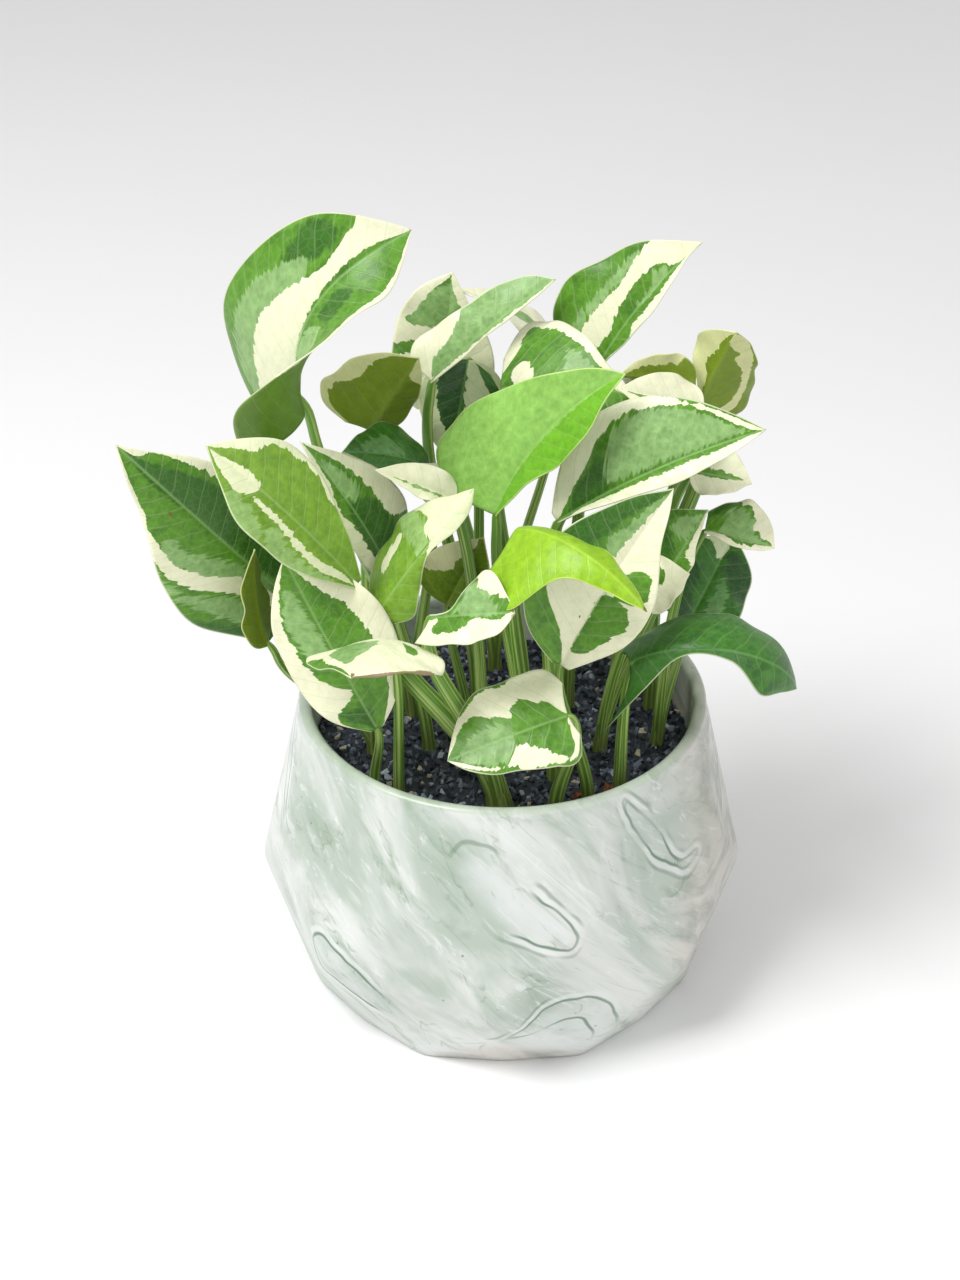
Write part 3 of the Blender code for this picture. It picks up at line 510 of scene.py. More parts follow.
def midrib(leaf, along):
    # points, directions, upper normals and leftward directions along the middle of the blade
    fine = np.linspace(0, 1, 81)
    down = -np.radians(leaf["droop"]) * fine
    aside = np.radians(leaf["sway"]) * fine
    ahead = np.stack([np.cos(down) * np.cos(aside), np.cos(down) * np.sin(aside), np.sin(down)], -1)
    upper = np.stack([-np.sin(down) * np.cos(aside), -np.sin(down) * np.sin(aside), np.cos(down)], -1)
    left = np.cross(upper, ahead)
    steps = (ahead[1:] + ahead[:-1]) / 2 / (len(fine) - 1)
    points = np.concatenate([np.zeros((1, 3)), np.cumsum(steps, 0)])
    base, tip = crownPoint(leaf["base"]), crownPoint(leaf["tip"])
    turn = axes(points[-1], np.array((0, 0, 1))).T @ axes(tip - base, facing(*leaf["face"]))
    points = points @ turn * bladeLength(leaf) / np.linalg.norm(points[-1]) + base
    return [np.stack([np.interp(along, fine, v[:, k]) for k in range(3)], -1)
            for v in (points, ahead @ turn, upper @ turn, left @ turn)]


def drawnWidths(widths, along):
    # a smooth curve through the widths given at the widthPlaces, down to nothing at the tip
    known = np.array((*widths, 0), float)
    slope = np.gradient(known, widthPlaces)
    k = np.clip(np.searchsorted(widthPlaces, along, "right") - 1, 0, len(widths) - 1)
    gap = np.diff(widthPlaces)[k]
    u = (along - np.array(widthPlaces)[k]) / gap
    return ((2 * u ** 3 - 3 * u ** 2 + 1) * known[k] + (u ** 3 - 2 * u ** 2 + u) * gap * slope[k]
            + (3 * u ** 2 - 2 * u ** 3) * known[k + 1] + (u ** 3 - u ** 2) * gap * slope[k + 1])


def halfWidths(leaf, along, side):
    # width of one side of the blade along its length, mm
    if side in leaf:
        return drawnWidths(leaf[side], along)
    rise = bladeBuild["fullness"] * leaf["widest"]
    fall = bladeBuild["fullness"] - rise
    peak = leaf["widest"] ** rise * (1 - leaf["widest"]) ** fall
    width = np.maximum(along ** rise * (1 - along) ** fall / peak, bladeBuild["stub"] * (1 - along) ** 8)
    dripping = np.clip((along - 1) / bladeBuild["dripLength"] + 1, 0, 1)
    width = width * (1 - bladeBuild["drip"] * dripping ** 1.5)
    return width * leaf["halves"][side == "right"]


def bladePoints(leaf, along, offset):
    # points of the blade at shares of its length and mm left (plus) or right (minus) of the midrib
    points, ahead, upper, left = midrib(leaf, along)
    s = along[:, None] + 0 * offset
    side = np.where(offset < 0, -1, 1)
    half = np.where(side > 0, *leaf["halves"]).astype(float)
    (nearLeft, farLeft), (nearRight, farRight) = leaf["curl"]
    near = np.where(side > 0, nearLeft, nearRight)
    far = np.where(side > 0, farLeft, farRight)
    curl = np.radians(near + (far - near) * s)
    curl = np.where(np.abs(curl) < 0.001, 0.001, curl)      # a straight half would divide by nothing
    fold = np.radians(np.where(side > 0, *np.broadcast_to(leaf["fold"], 2)))
    out = np.abs(offset) / half
    aside = side * (np.sin(fold + curl * out) - np.sin(fold)) / curl * half * mm
    lift = (np.cos(fold) - np.cos(fold + curl * out)) / curl * half * mm
    back = leaf["lobe"] * bladeLength(leaf) * np.minimum(out, 1.2) ** 2 * (1 - s) ** 8
    return (points[:, None] + aside[..., None] * left[:, None]
            + lift[..., None] * upper[:, None] - back[..., None] * ahead[:, None])


def surfaceNormals(surface):
    ahead = np.gradient(surface, axis=0)
    left = np.gradient(surface, axis=1)
    normal = np.cross(ahead, left)
    size = np.linalg.norm(normal, axis=2, keepdims=True)
    normal = np.where(size > 1e-12, normal / np.maximum(size, 1e-12), 0)
    normal[-1] = normal[-2].mean(0)                         # the tip is one point
    return normal


def patchDistance(outline, x, y):
    # how far inside (plus) or outside (minus) a closed outline each point lies
    px, py = np.array(outline, float).T
    best = np.full(x.shape, 1e9)
    inside = np.zeros(x.shape, bool)
    for k in range(len(px)):
        ax, ay = px[k - 1], py[k - 1]
        bx, by = px[k], py[k]
        dx, dy = bx - ax, by - ay
        share = np.clip(((x - ax) * dx + (y - ay) * dy) / (dx * dx + dy * dy + 1e-12), 0, 1)
        best = np.minimum(best, np.hypot(x - ax - share * dx, y - ay - share * dy))
        crosses = (ay > y) != (by > y)
        inside ^= crosses & (x < ax + (y - ay) * dx / (dy if dy else 1e-12))
    return np.where(inside, best, -best)


def rounded(outline, steps=5):
    # a smooth closed curve through the corners
    p = np.array(outline, float)
    out = []
    for k in range(len(p)):
        a, b, c, d = p[k - 1], p[k], p[(k + 1) % len(p)], p[(k + 2) % len(p)]
        for u in np.arange(steps) / steps:
            out.append(0.5 * (2 * b + (c - a) * u + (2 * a - 5 * b + 4 * c - d) * u * u
                              + (3 * b - a - 3 * c + d) * u ** 3))
    return out


def patchField(patches, s, t, length, half):
    # how far inside the nearest patch each point lies, mm; half is the widest on the left and on the right
    farOutside = -20.0
    field = np.full(s.shape, farOutside)
    for outline in patches:
        middle = sum(p[1] for p in outline) / len(outline)
        across = half[0] if middle > 0 else half[1]
        scaled = [(a * length, b * across) for a, b in rounded(outline)]
        field = np.maximum(field, patchDistance(scaled, s * length, t * across))
    return field


def bladeFaces(rows, columns):
    # upper and lower side and the rim between them; the last row is one point, and the lower side's points
    # come after all the upper side's. flatFaces tells the rim apart.
    tip = (rows - 1) * columns
    count = tip + 1

    def point(row, column):
        return tip if row == rows - 1 else row * columns + column

    faces = []
    for row in range(rows - 1):
        for column in range(columns - 1):
            a, b = point(row, column), point(row, column + 1)
            c, d = point(row + 1, column + 1), point(row + 1, column)
            quad = (a, d, c, b) if c != d else (a, d, b)
            faces.append(quad)
            faces.append(tuple(v + count for v in reversed(quad)))
    flatFaces = [False] * len(faces)
    rim = [point(row, 0) for row in range(rows)]
    rim += [point(row, columns - 1) for row in range(rows - 2, -1, -1)]
    rim += [point(0, column) for column in range(columns - 2, 0, -1)]
    for k, a in enumerate(rim):
        b = rim[(k + 1) % len(rim)]
        faces.append((b, a, a + count, b + count))
        flatFaces.append(True)
    return faces, flatFaces


def buildBlade(name, leaf, seed, materials):
    build = bladeBuild
    along = np.linspace(0, 1, build["rows"])
    across = np.linspace(-1, 1, build["columns"] + 1)
    across = np.sign(across) * np.abs(across) ** build["crowding"]
    s, t = np.meshgrid(along, across, indexing="ij")
    left, right = halfWidths(leaf, along, "left")[:, None], halfWidths(leaf, along, "right")[:, None]
    reach = np.where(t > 0, left, right)
    length = bladeLength(leaf) / mm
    x = s * length
    y = t * reach
    rib = np.abs(y)
    root = x - build["veinSlope"] * rib - build["veinBend"] * y * y     # where this point's side vein starts
    phase = np.random.default_rng(seed).uniform(0, 6.28, 4)
    margin = np.abs(t) ** 3
    wave = np.where(t > 0, np.sin(s * 11 + phase[0]) + 0.6 * np.sin(s * 23 + phase[1]),
                    np.sin(s * 12 + phase[2]) + 0.6 * np.sin(s * 21 + phase[3]))
    lift = build["wave"] * wave * margin * np.minimum(1, reach / 8)
    lift -= build["grooveDepth"] * np.exp(-(rib / build["grooveWidth"]) ** 2) * (1 - s) ** 0.5
    ridge = np.abs((root / build["veinSpacing"] + 0.5 * (t > 0)) % 1 - 0.5) * 2
    lift += build["quilting"] * (0.5 - ridge) * np.minimum(1, rib / 3) * (1 - margin)
    surface = bladePoints(leaf, along, y)
    surface = surface + surfaceNormals(surface) * (lift * mm)[..., None]
    normal = surfaceNormals(surface)
    thick = build["thickness"] * (1 - (1 - build["edgeShare"]) * np.abs(t) ** 6) * mm
    ribbed = build["underRib"] * mm * np.exp(-(rib / build["underRibWidth"]) ** 2) * (1 - s)
    top = surface + normal * (thick / 2)[..., None]
    bottom = surface - normal * (thick / 2 + ribbed)[..., None]

    def onePoint(values):
        # the rows in one list, with the tip row as its middle point
        return np.concatenate([values[:-1].reshape(-1, *values.shape[2:]), values[-1:, len(across) // 2]])

    def bothSides(values):
        return np.concatenate([onePoint(values)] * 2)

    half = reach[t > 0].max(), reach[t < 0].max()
    patch = {kind: patchField(leaf[kind], s, t, length, half)
             for kind in ("cream", "keep", "pale", "deep", "rust")}
    fields = {
        "creamField": bothSides(np.minimum(patch["cream"], -patch["keep"])),
        "paleField": bothSides(patch["pale"]),
        "deepField": bothSides(patch["deep"]),
        "rustField": bothSides(patch["rust"]),
        "edgeField": bothSides((1 - np.abs(t)) * reach),
        "ribField": bothSides(rib),
        "underSide": np.repeat((0.0, 1.0), len(onePoint(s))),
        "bladePlace": bothSides(np.stack([x / 10, y / 10, np.full_like(x, seed * 3.7)], -1)),
        "veinPlace": bothSides(np.stack([root, rib, np.sign(t) * 40 + seed * 5.3], -1)),
    }
    faces, flatFaces = bladeFaces(*s.shape)
    points = np.concatenate([onePoint(top), onePoint(bottom)])
    meshPiece("blade_" + name, points, faces, materials[leaf["skin"]], "leaf_" + name,
              fields, flatFaces)


def bladePatternGroup():
    # greens, creams and veins of a blade, from the fields stored on it
    group, given, result = newGroup(
        "bladePattern",
        {"Green": "colour", "Deep": "colour", "Pale": "colour", "Cream": "colour", "Under Tint": "colour",
         "Mottle": "number", "Jagged": "number"},
        {"Colour": "colour", "Roughness": "number", "Height": "number"})
    place = attribute(group, "bladePlace", "Vector")
    vein = attribute(group, "veinPlace", "Vector")
    # masks of the patches, their margins drawn out along the side veins
    coarse = noise(group, stretched(group, vein, 0.42, 0.035, 1), 1.0, 1.0)
    medium = noise(group, stretched(group, vein, 1.1, 0.09, 1), 1.0, 2.0)
    teeth = calc(group, "ADD", swing(group, coarse, 5.0), swing(group, medium, 3.0))
    teeth = calc(group, "MULTIPLY", teeth, given["Jagged"])
    cream = between(group, calc(group, "ADD", attribute(group, "creamField"), teeth), -0.15, 0.15)
    softer = noise(group, stretched(group, vein, 0.7, 0.08, 1.7), 1.0, 3.0)
    pale = calc(group, "ADD", attribute(group, "paleField"), swing(group, softer, 8.0))
    pale = between(group, pale, -0.5, 0.5)
    deep = calc(group, "ADD", attribute(group, "deepField"), swing(group, softer, 6.0))
    deep = between(group, deep, -1.2, 1.2)
    blotch = between(group, noise(group, place, 1.3, 3.0, 0.6, 0.6), 0.45, 0.7)
    cloud = noise(group, place, 3.5, 4.0, 0.6)
    rust = calc(group, "ADD", attribute(group, "rustField"), swing(group, cloud, 3.0))
    rust = between(group, rust, -0.5, 0.6)
    # greens
    green = painted(group, given["Green"], given["Deep"], blotch, given["Mottle"])
    green = painted(group, green, given["Deep"], deep, 0.85)
    green = painted(group, green, given["Pale"], pale, calc(group, "MULTIPLY_ADD", cloud, 0.5, 0.6))
    shade = calc(group, "MULTIPLY_ADD", cloud, 0.8, 0.58)
    green = mixColour(group, 1.0, green, shade, "MULTIPLY")
    # side veins and the fine net between them
    bent = swing(group, noise(group, place, 1.6, 1.0), 2.0)
    start = calc(group, "ADD", parted(group, vein)[0], bent)
    cycle = calc(group, "PINGPONG", start, bladeBuild["veinSpacing"] / 2)
    sideVein = flipped(group, between(group, cycle, 0.05, 0.45))
    net = group.nodes.new("ShaderNodeTexVoronoi")
    net.feature = "DISTANCE_TO_EDGE"
    net.inputs["Scale"].default_value = 4.2
    feed(group, net.inputs["Vector"], place)
    fineNet = flipped(group, between(group, net.outputs["Distance"], 0.0, 0.09))
    lines = calc(group, "MAXIMUM", sideVein, calc(group, "MULTIPLY", fineNet, 0.45))
    middle = flipped(group, between(group, attribute(group, "ribField"), 0.15, 0.7))
    veined = painted(group, green, mixColour(group, 0.5, given["Pale"], given["Cream"]), lines, 0.13)
    veined = painted(group, veined, given["Deep"], between(group, net.outputs["Distance"], 0.1, 0.4), 0.16)
    veined = painted(group, veined, given["Pale"], middle, 0.5)
    # creams, then the margin and the dead spots
    blushed = painted(group, given["Cream"], mixColour(group, 0.5, given["Cream"], given["Pale"]),
                      between(group, cloud, 0.4, 0.7), 0.25)
    blushed = painted(group, blushed, given["Pale"], lines, 0.12)
    colour = mixColour(group, cream, veined, blushed)
    edge = flipped(group, between(group, attribute(group, "edgeField"), 0.15, 0.5))
    colour = painted(group, colour, given["Cream"], edge, 0.7)
    colour = painted(group, colour, srgb(112, 78, 44), rust, 0.85)
    # the lower side is duller
    below = mixColour(group, 0.55, colour, mixColour(group, 1.0, colour, given["Under Tint"], "MULTIPLY"))
    below = mixColour(group, 0.35, below, given["Under Tint"])
    below = mixColour(group, cream, below, mixColour(group, 0.3, colour, given["Under Tint"]))
    feed(group, result["Colour"], mixColour(group, attribute(group, "underSide"), colour, below))
    feed(group, result["Roughness"], calc(group, "MULTIPLY_ADD", cloud, 0.18, 0.30))
    height = calc(group, "ADD", calc(group, "MULTIPLY", lines, -0.6), calc(group, "MULTIPLY", cloud, 0.5))
    feed(group, result["Height"], height)
    return group


bladePattern = bladePatternGroup()

# colours of each kind of blade
bladeSkins = {
    "variegated": dict(green=srgb(88, 142, 32), deep=srgb(44, 96, 18), pale=srgb(142, 180, 112),
        cream=srgb(236, 235, 203), under=srgb(120, 150, 40), mottle=0.5, jagged=0.6, gloss=0.5),
    "plain": dict(green=srgb(106, 170, 30), deep=srgb(84, 150, 24), pale=srgb(142, 190, 92),
        cream=srgb(205, 225, 140), under=srgb(140, 180, 50), mottle=0.3, jagged=0.6, gloss=0.5),
    "lime": dict(green=srgb(144, 190, 30), deep=srgb(108, 160, 16), pale=srgb(176, 210, 74),
        cream=srgb(214, 228, 120), under=srgb(150, 190, 40), mottle=0.3, jagged=0.6, gloss=0.45),
    "fresh": dict(green=srgb(118, 160, 44), deep=srgb(84, 128, 20), pale=srgb(150, 186, 110),
        cream=srgb(228, 232, 192), under=srgb(110, 140, 40), mottle=0.4, jagged=0.6, gloss=0.45),
    "olive": dict(green=srgb(112, 142, 24), deep=srgb(56, 92, 16), pale=srgb(150, 168, 80),
        cream=srgb(228, 226, 180), under=srgb(150, 170, 50), mottle=0.4, jagged=0.6, gloss=0.4),
    "dark": dict(green=srgb(54, 116, 20), deep=srgb(24, 72, 18), pale=srgb(104, 152, 86),
        cream=srgb(214, 222, 180), under=srgb(60, 92, 44), mottle=0.6, jagged=0.6, gloss=0.7),
}


def bladeMaterial(name, skin):
    material, tree, shader = newMaterial("blade_" + name, {
        "Specular IOR Level": skin["gloss"], "Sheen Weight": 0.05, "IOR": 1.42})
    pattern = tree.nodes.new("ShaderNodeGroup")
    pattern.node_tree = bladePattern
    for label, key in (("Green", "green"), ("Deep", "deep"), ("Pale", "pale"), ("Cream", "cream"),
                       ("Under Tint", "under"), ("Mottle", "mottle"), ("Jagged", "jagged")):
        pattern.inputs[label].default_value = skin[key]
    feed(tree, shader.inputs["Base Color"], pattern.outputs["Colour"])
    feed(tree, shader.inputs["Roughness"], pattern.outputs["Roughness"])
    bump(tree, shader, pattern.outputs["Height"], 0.35, 0.25 * mm)
    return material


skins = {name: bladeMaterial(name, skin) for name, skin in bladeSkins.items()}
for seed, (name, leaf) in enumerate(leaves.items()):
    buildBlade(name, leaf, seed, skins)
print("blades made:", len(leaves))


# leaf stalks

# size: thickness at the foot as a share of an ordinary stalk. leaves: the blades the clump carries.
stalks = {
    "front_left": dict(size=1.15, leaves=["low_left"]),
    "torn": dict(size=1.15, leaves=["torn"]),
    "thick": dict(size=2.3, leaves=["curled", "small_middle"]),
    "left": dict(size=1.3, leaves=["mid_left", "left_sliver"]),
    "far_left": dict(size=1.4, leaves=["far_left", "olive_back"]),
    "top_left": dict(size=1.5, leaves=["top_left", "dark_left"]),
    "middle_left": dict(size=1.3, leaves=["white_left"]),
    "inner": dict(size=1.4, leaves=["rolled", "behind_rolled"]),
    "gap": dict(size=1.1, leaves=["gap_middle"]),
    "back": dict(size=1.5, leaves=["long_top", "dark_middle"]),
    "back_edge": dict(size=1.4, leaves=["top_middle", "top_behind"]),
    "arched": dict(size=1.4, leaves=["arched"]),
    "big_middle": dict(size=1.5, leaves=["big_middle", "lime"]),
    "big_right": dict(size=1.6, leaves=["big_right"]),
    "front": dict(size=1.5, leaves=["front"]),
    "front_right": dict(size=1.3, leaves=["front_right"]),
    "top_right": dict(size=1.4, leaves=["top_right"]),
    "hooked": dict(size=1.4, leaves=["hooked"]),
    "inner_right": dict(size=1.4, leaves=["back_right", "tip_right"]),
    "right": dict(size=1.4, leaves=["dark_right", "side_right"]),
    "right_back": dict(size=1.3, leaves=["small_right"]),
    "far_right": dict(size=1.5, leaves=["far_right", "olive_right", "right_sliver"]),
}
stalkBuild = {
    "radius": 1.7, "taper": 0.6, "secondStalk": 0.85, "buried": 2.5,
    "segments": 18, "steps": 40,
    "groove": 0.24, "grooveWidth": 0.45, "ribs": 6, "ribHeight": 0.035,
    "footFlare": 1.15, "endShares": (0.95, 0.75, 0.25),         # the end narrows into the blade's midrib
}


def stalkLine(foot, leaf, size):
    # the curve runs from under the gravel to the underside of the blade's midrib
    points, ahead, upper, _ = midrib(leaf, np.array((0.0, 0.05)))
    room = 0.7 * mm + stalkBuild["radius"] * size * stalkBuild["taper"] * mm
    end = points[0] - unit(ahead[0] * 0.4 + upper[0] * 0.9) * room * 1.15
    span = end - foot
    length = np.linalg.norm(span)
    low = foot + np.array((span[0] * 0.1, span[1] * 0.1, length * 0.4))
    high = end - unit(ahead[0] * 0.5 + np.array((0, 0, 1))) * length * 0.28
    u = np.linspace(0, 1, stalkBuild["steps"])[:, None]
    path = (1 - u) ** 3 * foot + 3 * u * (1 - u) ** 2 * low + 3 * u * u * (1 - u) * high + u ** 3 * end
    close = points[1] - upper[1] * 0.45 * mm
    joint = points[0] - upper[0] * 0.6 * mm
    path = np.concatenate([[foot - (0, 0, stalkBuild["buried"] * mm)], path[:-1],
                           [path[-1] * 0.5 + joint * 0.5], [joint], [close]])
    for _ in range(2):
        path[-6:-1] = (path[-7:-2] + 2 * path[-6:-1] + path[-5:]) / 4
    return path, upper[0]


def stalkTube(path, up, radius):
    # points, faces, the place of each point for the stripes and its share of the way up
    rings = len(path)
    ahead = np.gradient(path, axis=0)
    ahead /= np.linalg.norm(ahead, axis=1, keepdims=True)
    share = np.linspace(0, 1, rings)
    size = radius * (1 + (stalkBuild["taper"] - 1) * share)
    size[-3:] *= stalkBuild["endShares"]
    size[:4] *= np.linspace(stalkBuild["footFlare"], 1.0, 4)
    angles = np.linspace(0, wholeTurn, stalkBuild["segments"], endpoint=False)
    fromTop = (angles + np.pi) % wholeTurn - np.pi
    groove = stalkBuild["groove"] * np.exp(-(fromTop / stalkBuild["grooveWidth"]) ** 2)
    shape = (1 - groove + stalkBuild["ribHeight"] * np.cos(angles * stalkBuild["ribs"]))[:, None]
    points = []
    for k in range(rings):
        x = np.cross(ahead[k], up)
        x /= np.linalg.norm(x)
        y = np.cross(x, ahead[k])
        points.append(path[k] + size[k] * shape * (np.cos(angles)[:, None] * y + np.sin(angles)[:, None] * x))
    around = len(angles)
    faces = tubeFaces(rings, around)
    faces.append(tuple(range(around)))
    faces.append(tuple((rings - 1) * around + j for j in reversed(range(around))))
    walk = np.concatenate([[0], np.cumsum(np.linalg.norm(np.diff(path, axis=0), axis=1))]) / mm
    place = np.stack([np.tile(np.cos(angles), rings), np.tile(np.sin(angles), rings),
                      np.repeat(walk, around)], -1)
    return np.concatenate(points), faces, place, np.repeat(share, around)


def joinTubes(tubes):
    # several tubes as one mesh's points, faces and fields
    points, faces = [], []
    for tube in tubes:
        offset = sum(len(p) for p in points)
        points.append(tube[0])
        faces += [tuple(v + offset for v in face) for face in tube[1]]
    fields = {"stalkPlace": np.concatenate([tube[2] for tube in tubes]),
              "stalkShare": np.concatenate([tube[3] for tube in tubes])}
    return np.concatenate(points), faces, fields


def stalkMaterial():
    material, tree, shader = newMaterial("stalk", {"Specular IOR Level": 0.45})
    place = attribute(tree, "stalkPlace", "Vector")
    share = attribute(tree, "stalkShare")
    stripes = noise(tree, stretched(tree, place, 2.6, 2.6, 0.015), 1.0, 2.0)
    fine = noise(tree, stretched(tree, place, 6, 6, 0.25), 1.0, 3.0, 0.6)
    body = mixColour(tree, between(tree, stripes, 0.42, 0.62), srgb(92, 138, 40), srgb(172, 196, 112))
    body = mixColour(tree, between(tree, fine, 0.6, 0.8), body, srgb(70, 104, 40))
    body = painted(tree, body, srgb(92, 92, 44), flipped(tree, between(tree, share, 0.02, 0.2)), 0.6)
    feed(tree, shader.inputs["Base Color"], body)
    feed(tree, shader.inputs["Roughness"], calc(tree, "MULTIPLY_ADD", fine, 0.3, 0.3))
    bump(tree, shader, stripes, 0.4, 0.3 * mm)
    return material


def stalkFoot(name):
    # middle of the lowest points of the node
    corners = np.array([v.co for v in frame["nodes"]["stem_" + name].data.vertices])
    lowest = corners[corners[:, 2] < corners[:, 2].min() + 0.2 * mm]
    return (lowest.min(0) + lowest.max(0)) / 2


def buildStalk(name, stalk, material):
    foot = stalkFoot(name)
    tubes = []
    for k, carried in enumerate(stalk["leaves"]):
        radius = stalkBuild["radius"] * stalk["size"] * mm * (stalkBuild["secondStalk"] if k else 1)
        path, up = stalkLine(foot, leaves[carried], stalk["size"])
        tubes.append(stalkTube(path, up, radius))
    points, faces, fields = joinTubes(tubes)
    meshPiece("stalk_" + name, points, faces, material, "stem_" + name, fields)


stalkSkin = stalkMaterial()
for name, stalk in stalks.items():
    buildStalk(name, stalk, stalkSkin)
print("stalks made:", len(stalks))


# planter

# columns, rows: points round and up the outside. easing: how often the ridges are smoothed. lip: rise of its
# round, mm. swirls, inner: outlines in the glaze as (degrees round from the front, mm above the foot), drawn
# once at each of the turns, which give the place in degrees and 1 or -1, for the mirror image.
planter = {
    "columns": 400, "rows": 100, "easing": 5, "lip": 2.2, "lipSteps": 9, "lineWidth": 0.45,
    "footRound": 1.2, "footHeights": (0.4, 1.5), "belowLip": 3, "insideDepth": 3, "insideRows": 12,
    "turns": ((0, 1), (124, -1), (238, 1)),
    "swirls": [
        [(-5, 90), (2, 84), (8, 75), (14, 66), (17, 60), (16, 56), (13, 57), (6, 62), (-2, 68), (-8, 74),
         (-13, 82), (-11, 89)],
        [(-26, 12), (-18, 15), (-8, 14), (0, 17), (5, 26), (10, 34), (17, 34), (24, 30), (29, 22), (32, 10),
         (30, -5), (-26, -5)],
        [(33, 100), (37, 94), (42, 86), (46, 77), (51, 70), (57, 68), (50, 66), (44, 72), (39, 82), (35, 91)],
        [(-46, 44), (-38, 36), (-31, 27), (-26, 18), (-33, 20), (-41, 30), (-49, 40)]],
    "inner": [
        [(-2, 16), (4, 19), (10, 22), (16, 24), (21, 20), (25, 12), (24, 0), (20, -6), (0, -6), (-6, 8)],
        [(-16, 61), (-12, 58), (-7, 51), (-5, 45), (-9, 49), (-14, 55), (-18, 59)]],
}


def swirlField(outlines, turn, z):
    # signed distance in mm from the swirls, for points at a turn round the pot and a height
    radius = (potHigh.x - potLow.x) / 2 / mm * 0.94         # a middling radius of the tapering side
    farOutside = -40.0
    field = np.full(turn.shape, farOutside)
    for start, flip in planter["turns"]:
        x = (turn - start + 180) % 360 - 180
        for outline in outlines:
            unrolled = [(np.radians(a) * radius * flip, b) for a, b in rounded(outline)]
            field = np.maximum(field, patchDistance(unrolled, np.radians(x) * radius, z))
    return field


def outsideRadii(angles, heights):
    # distances from the axis to the outside of the CAD pot, with its ridges eased
    node = frame["nodes"]["pot"]
    corners = [v.co.copy() for v in node.data.vertices]
    tree = BVHTree.FromPolygons(corners, [tuple(p.vertices) for p in node.data.polygons])
    away = 0.2                                              # rays start well outside the pot
    radii = np.zeros((len(heights), len(angles)))
    for i, z in enumerate(heights):
        for j, angle in enumerate(angles):
            ray = Vector((np.sin(angle), -np.cos(angle), 0))
            hit = tree.ray_cast(Vector((0, 0, z)) + ray * away, -ray, away)
            radii[i, j] = np.hypot(hit[0].x, hit[0].y)
    for _ in range(planter["easing"]):
        radii = (np.roll(radii, 1, 1) + 2 * radii + np.roll(radii, -1, 1)) / 4
        padded = np.pad(radii, ((1, 1), (0, 0)), "edge")
        radii[1:-1] = ((padded[:-2] + 2 * padded[1:-1] + padded[2:]) / 4)[1:-1]
    return radii


def planterMesh():
    # rings of points up the outside, over the lip and down the inside to under the gravel
    height = potHigh.z
    columns = planter["columns"]
    angles = np.linspace(0, wholeTurn, columns, endpoint=False)
    lowest, second = planter["footHeights"]
    upTo = height - planter["belowLip"] * mm
    heights = np.concatenate([[lowest * mm], np.linspace(second * mm, upTo, planter["rows"])])
    radii = outsideRadii(angles, heights)
    rings = [(radii[0] * 0.5, 0.0), (radii[0] - planter["footRound"] * mm, 0.0)]
    rings += list(zip(radii, heights))
    lip = radii[-1].mean()
    half = (lip - mouthRadius) / 2
    rise = planter["lip"] * mm
    for turn in np.radians(np.linspace(10, 170, planter["lipSteps"])):
        rings.append((np.full(columns, lip - half + half * np.cos(turn)),
                      height - rise + rise * np.sin(turn)))
    for z in np.linspace(upTo, gravelTop - planter["insideDepth"] * mm, planter["insideRows"]):
        rings.append((np.full(columns, mouthRadius), z))
    points = np.array([(r * np.sin(a), -r * np.cos(a), z)
                       for radius, z in rings for r, a in zip(radius, angles)])
    faces = []
    for i in range(len(rings) - 1):
        for j in range(columns):
            a, b = i * columns + j, i * columns + (j + 1) % columns
            faces.append((a, b, b + columns, a + columns))
    faces.append(tuple(reversed(range(columns))))
    top = (len(rings) - 1) * columns
    faces.append(tuple(top + j for j in range(columns)))
    turn = np.tile(np.degrees(angles), len(rings))
    z = points[:, 2] / mm
    return points, faces, {"swirlField": swirlField(planter["swirls"], turn, z),
                           "innerField": swirlField(planter["inner"], turn, z)}


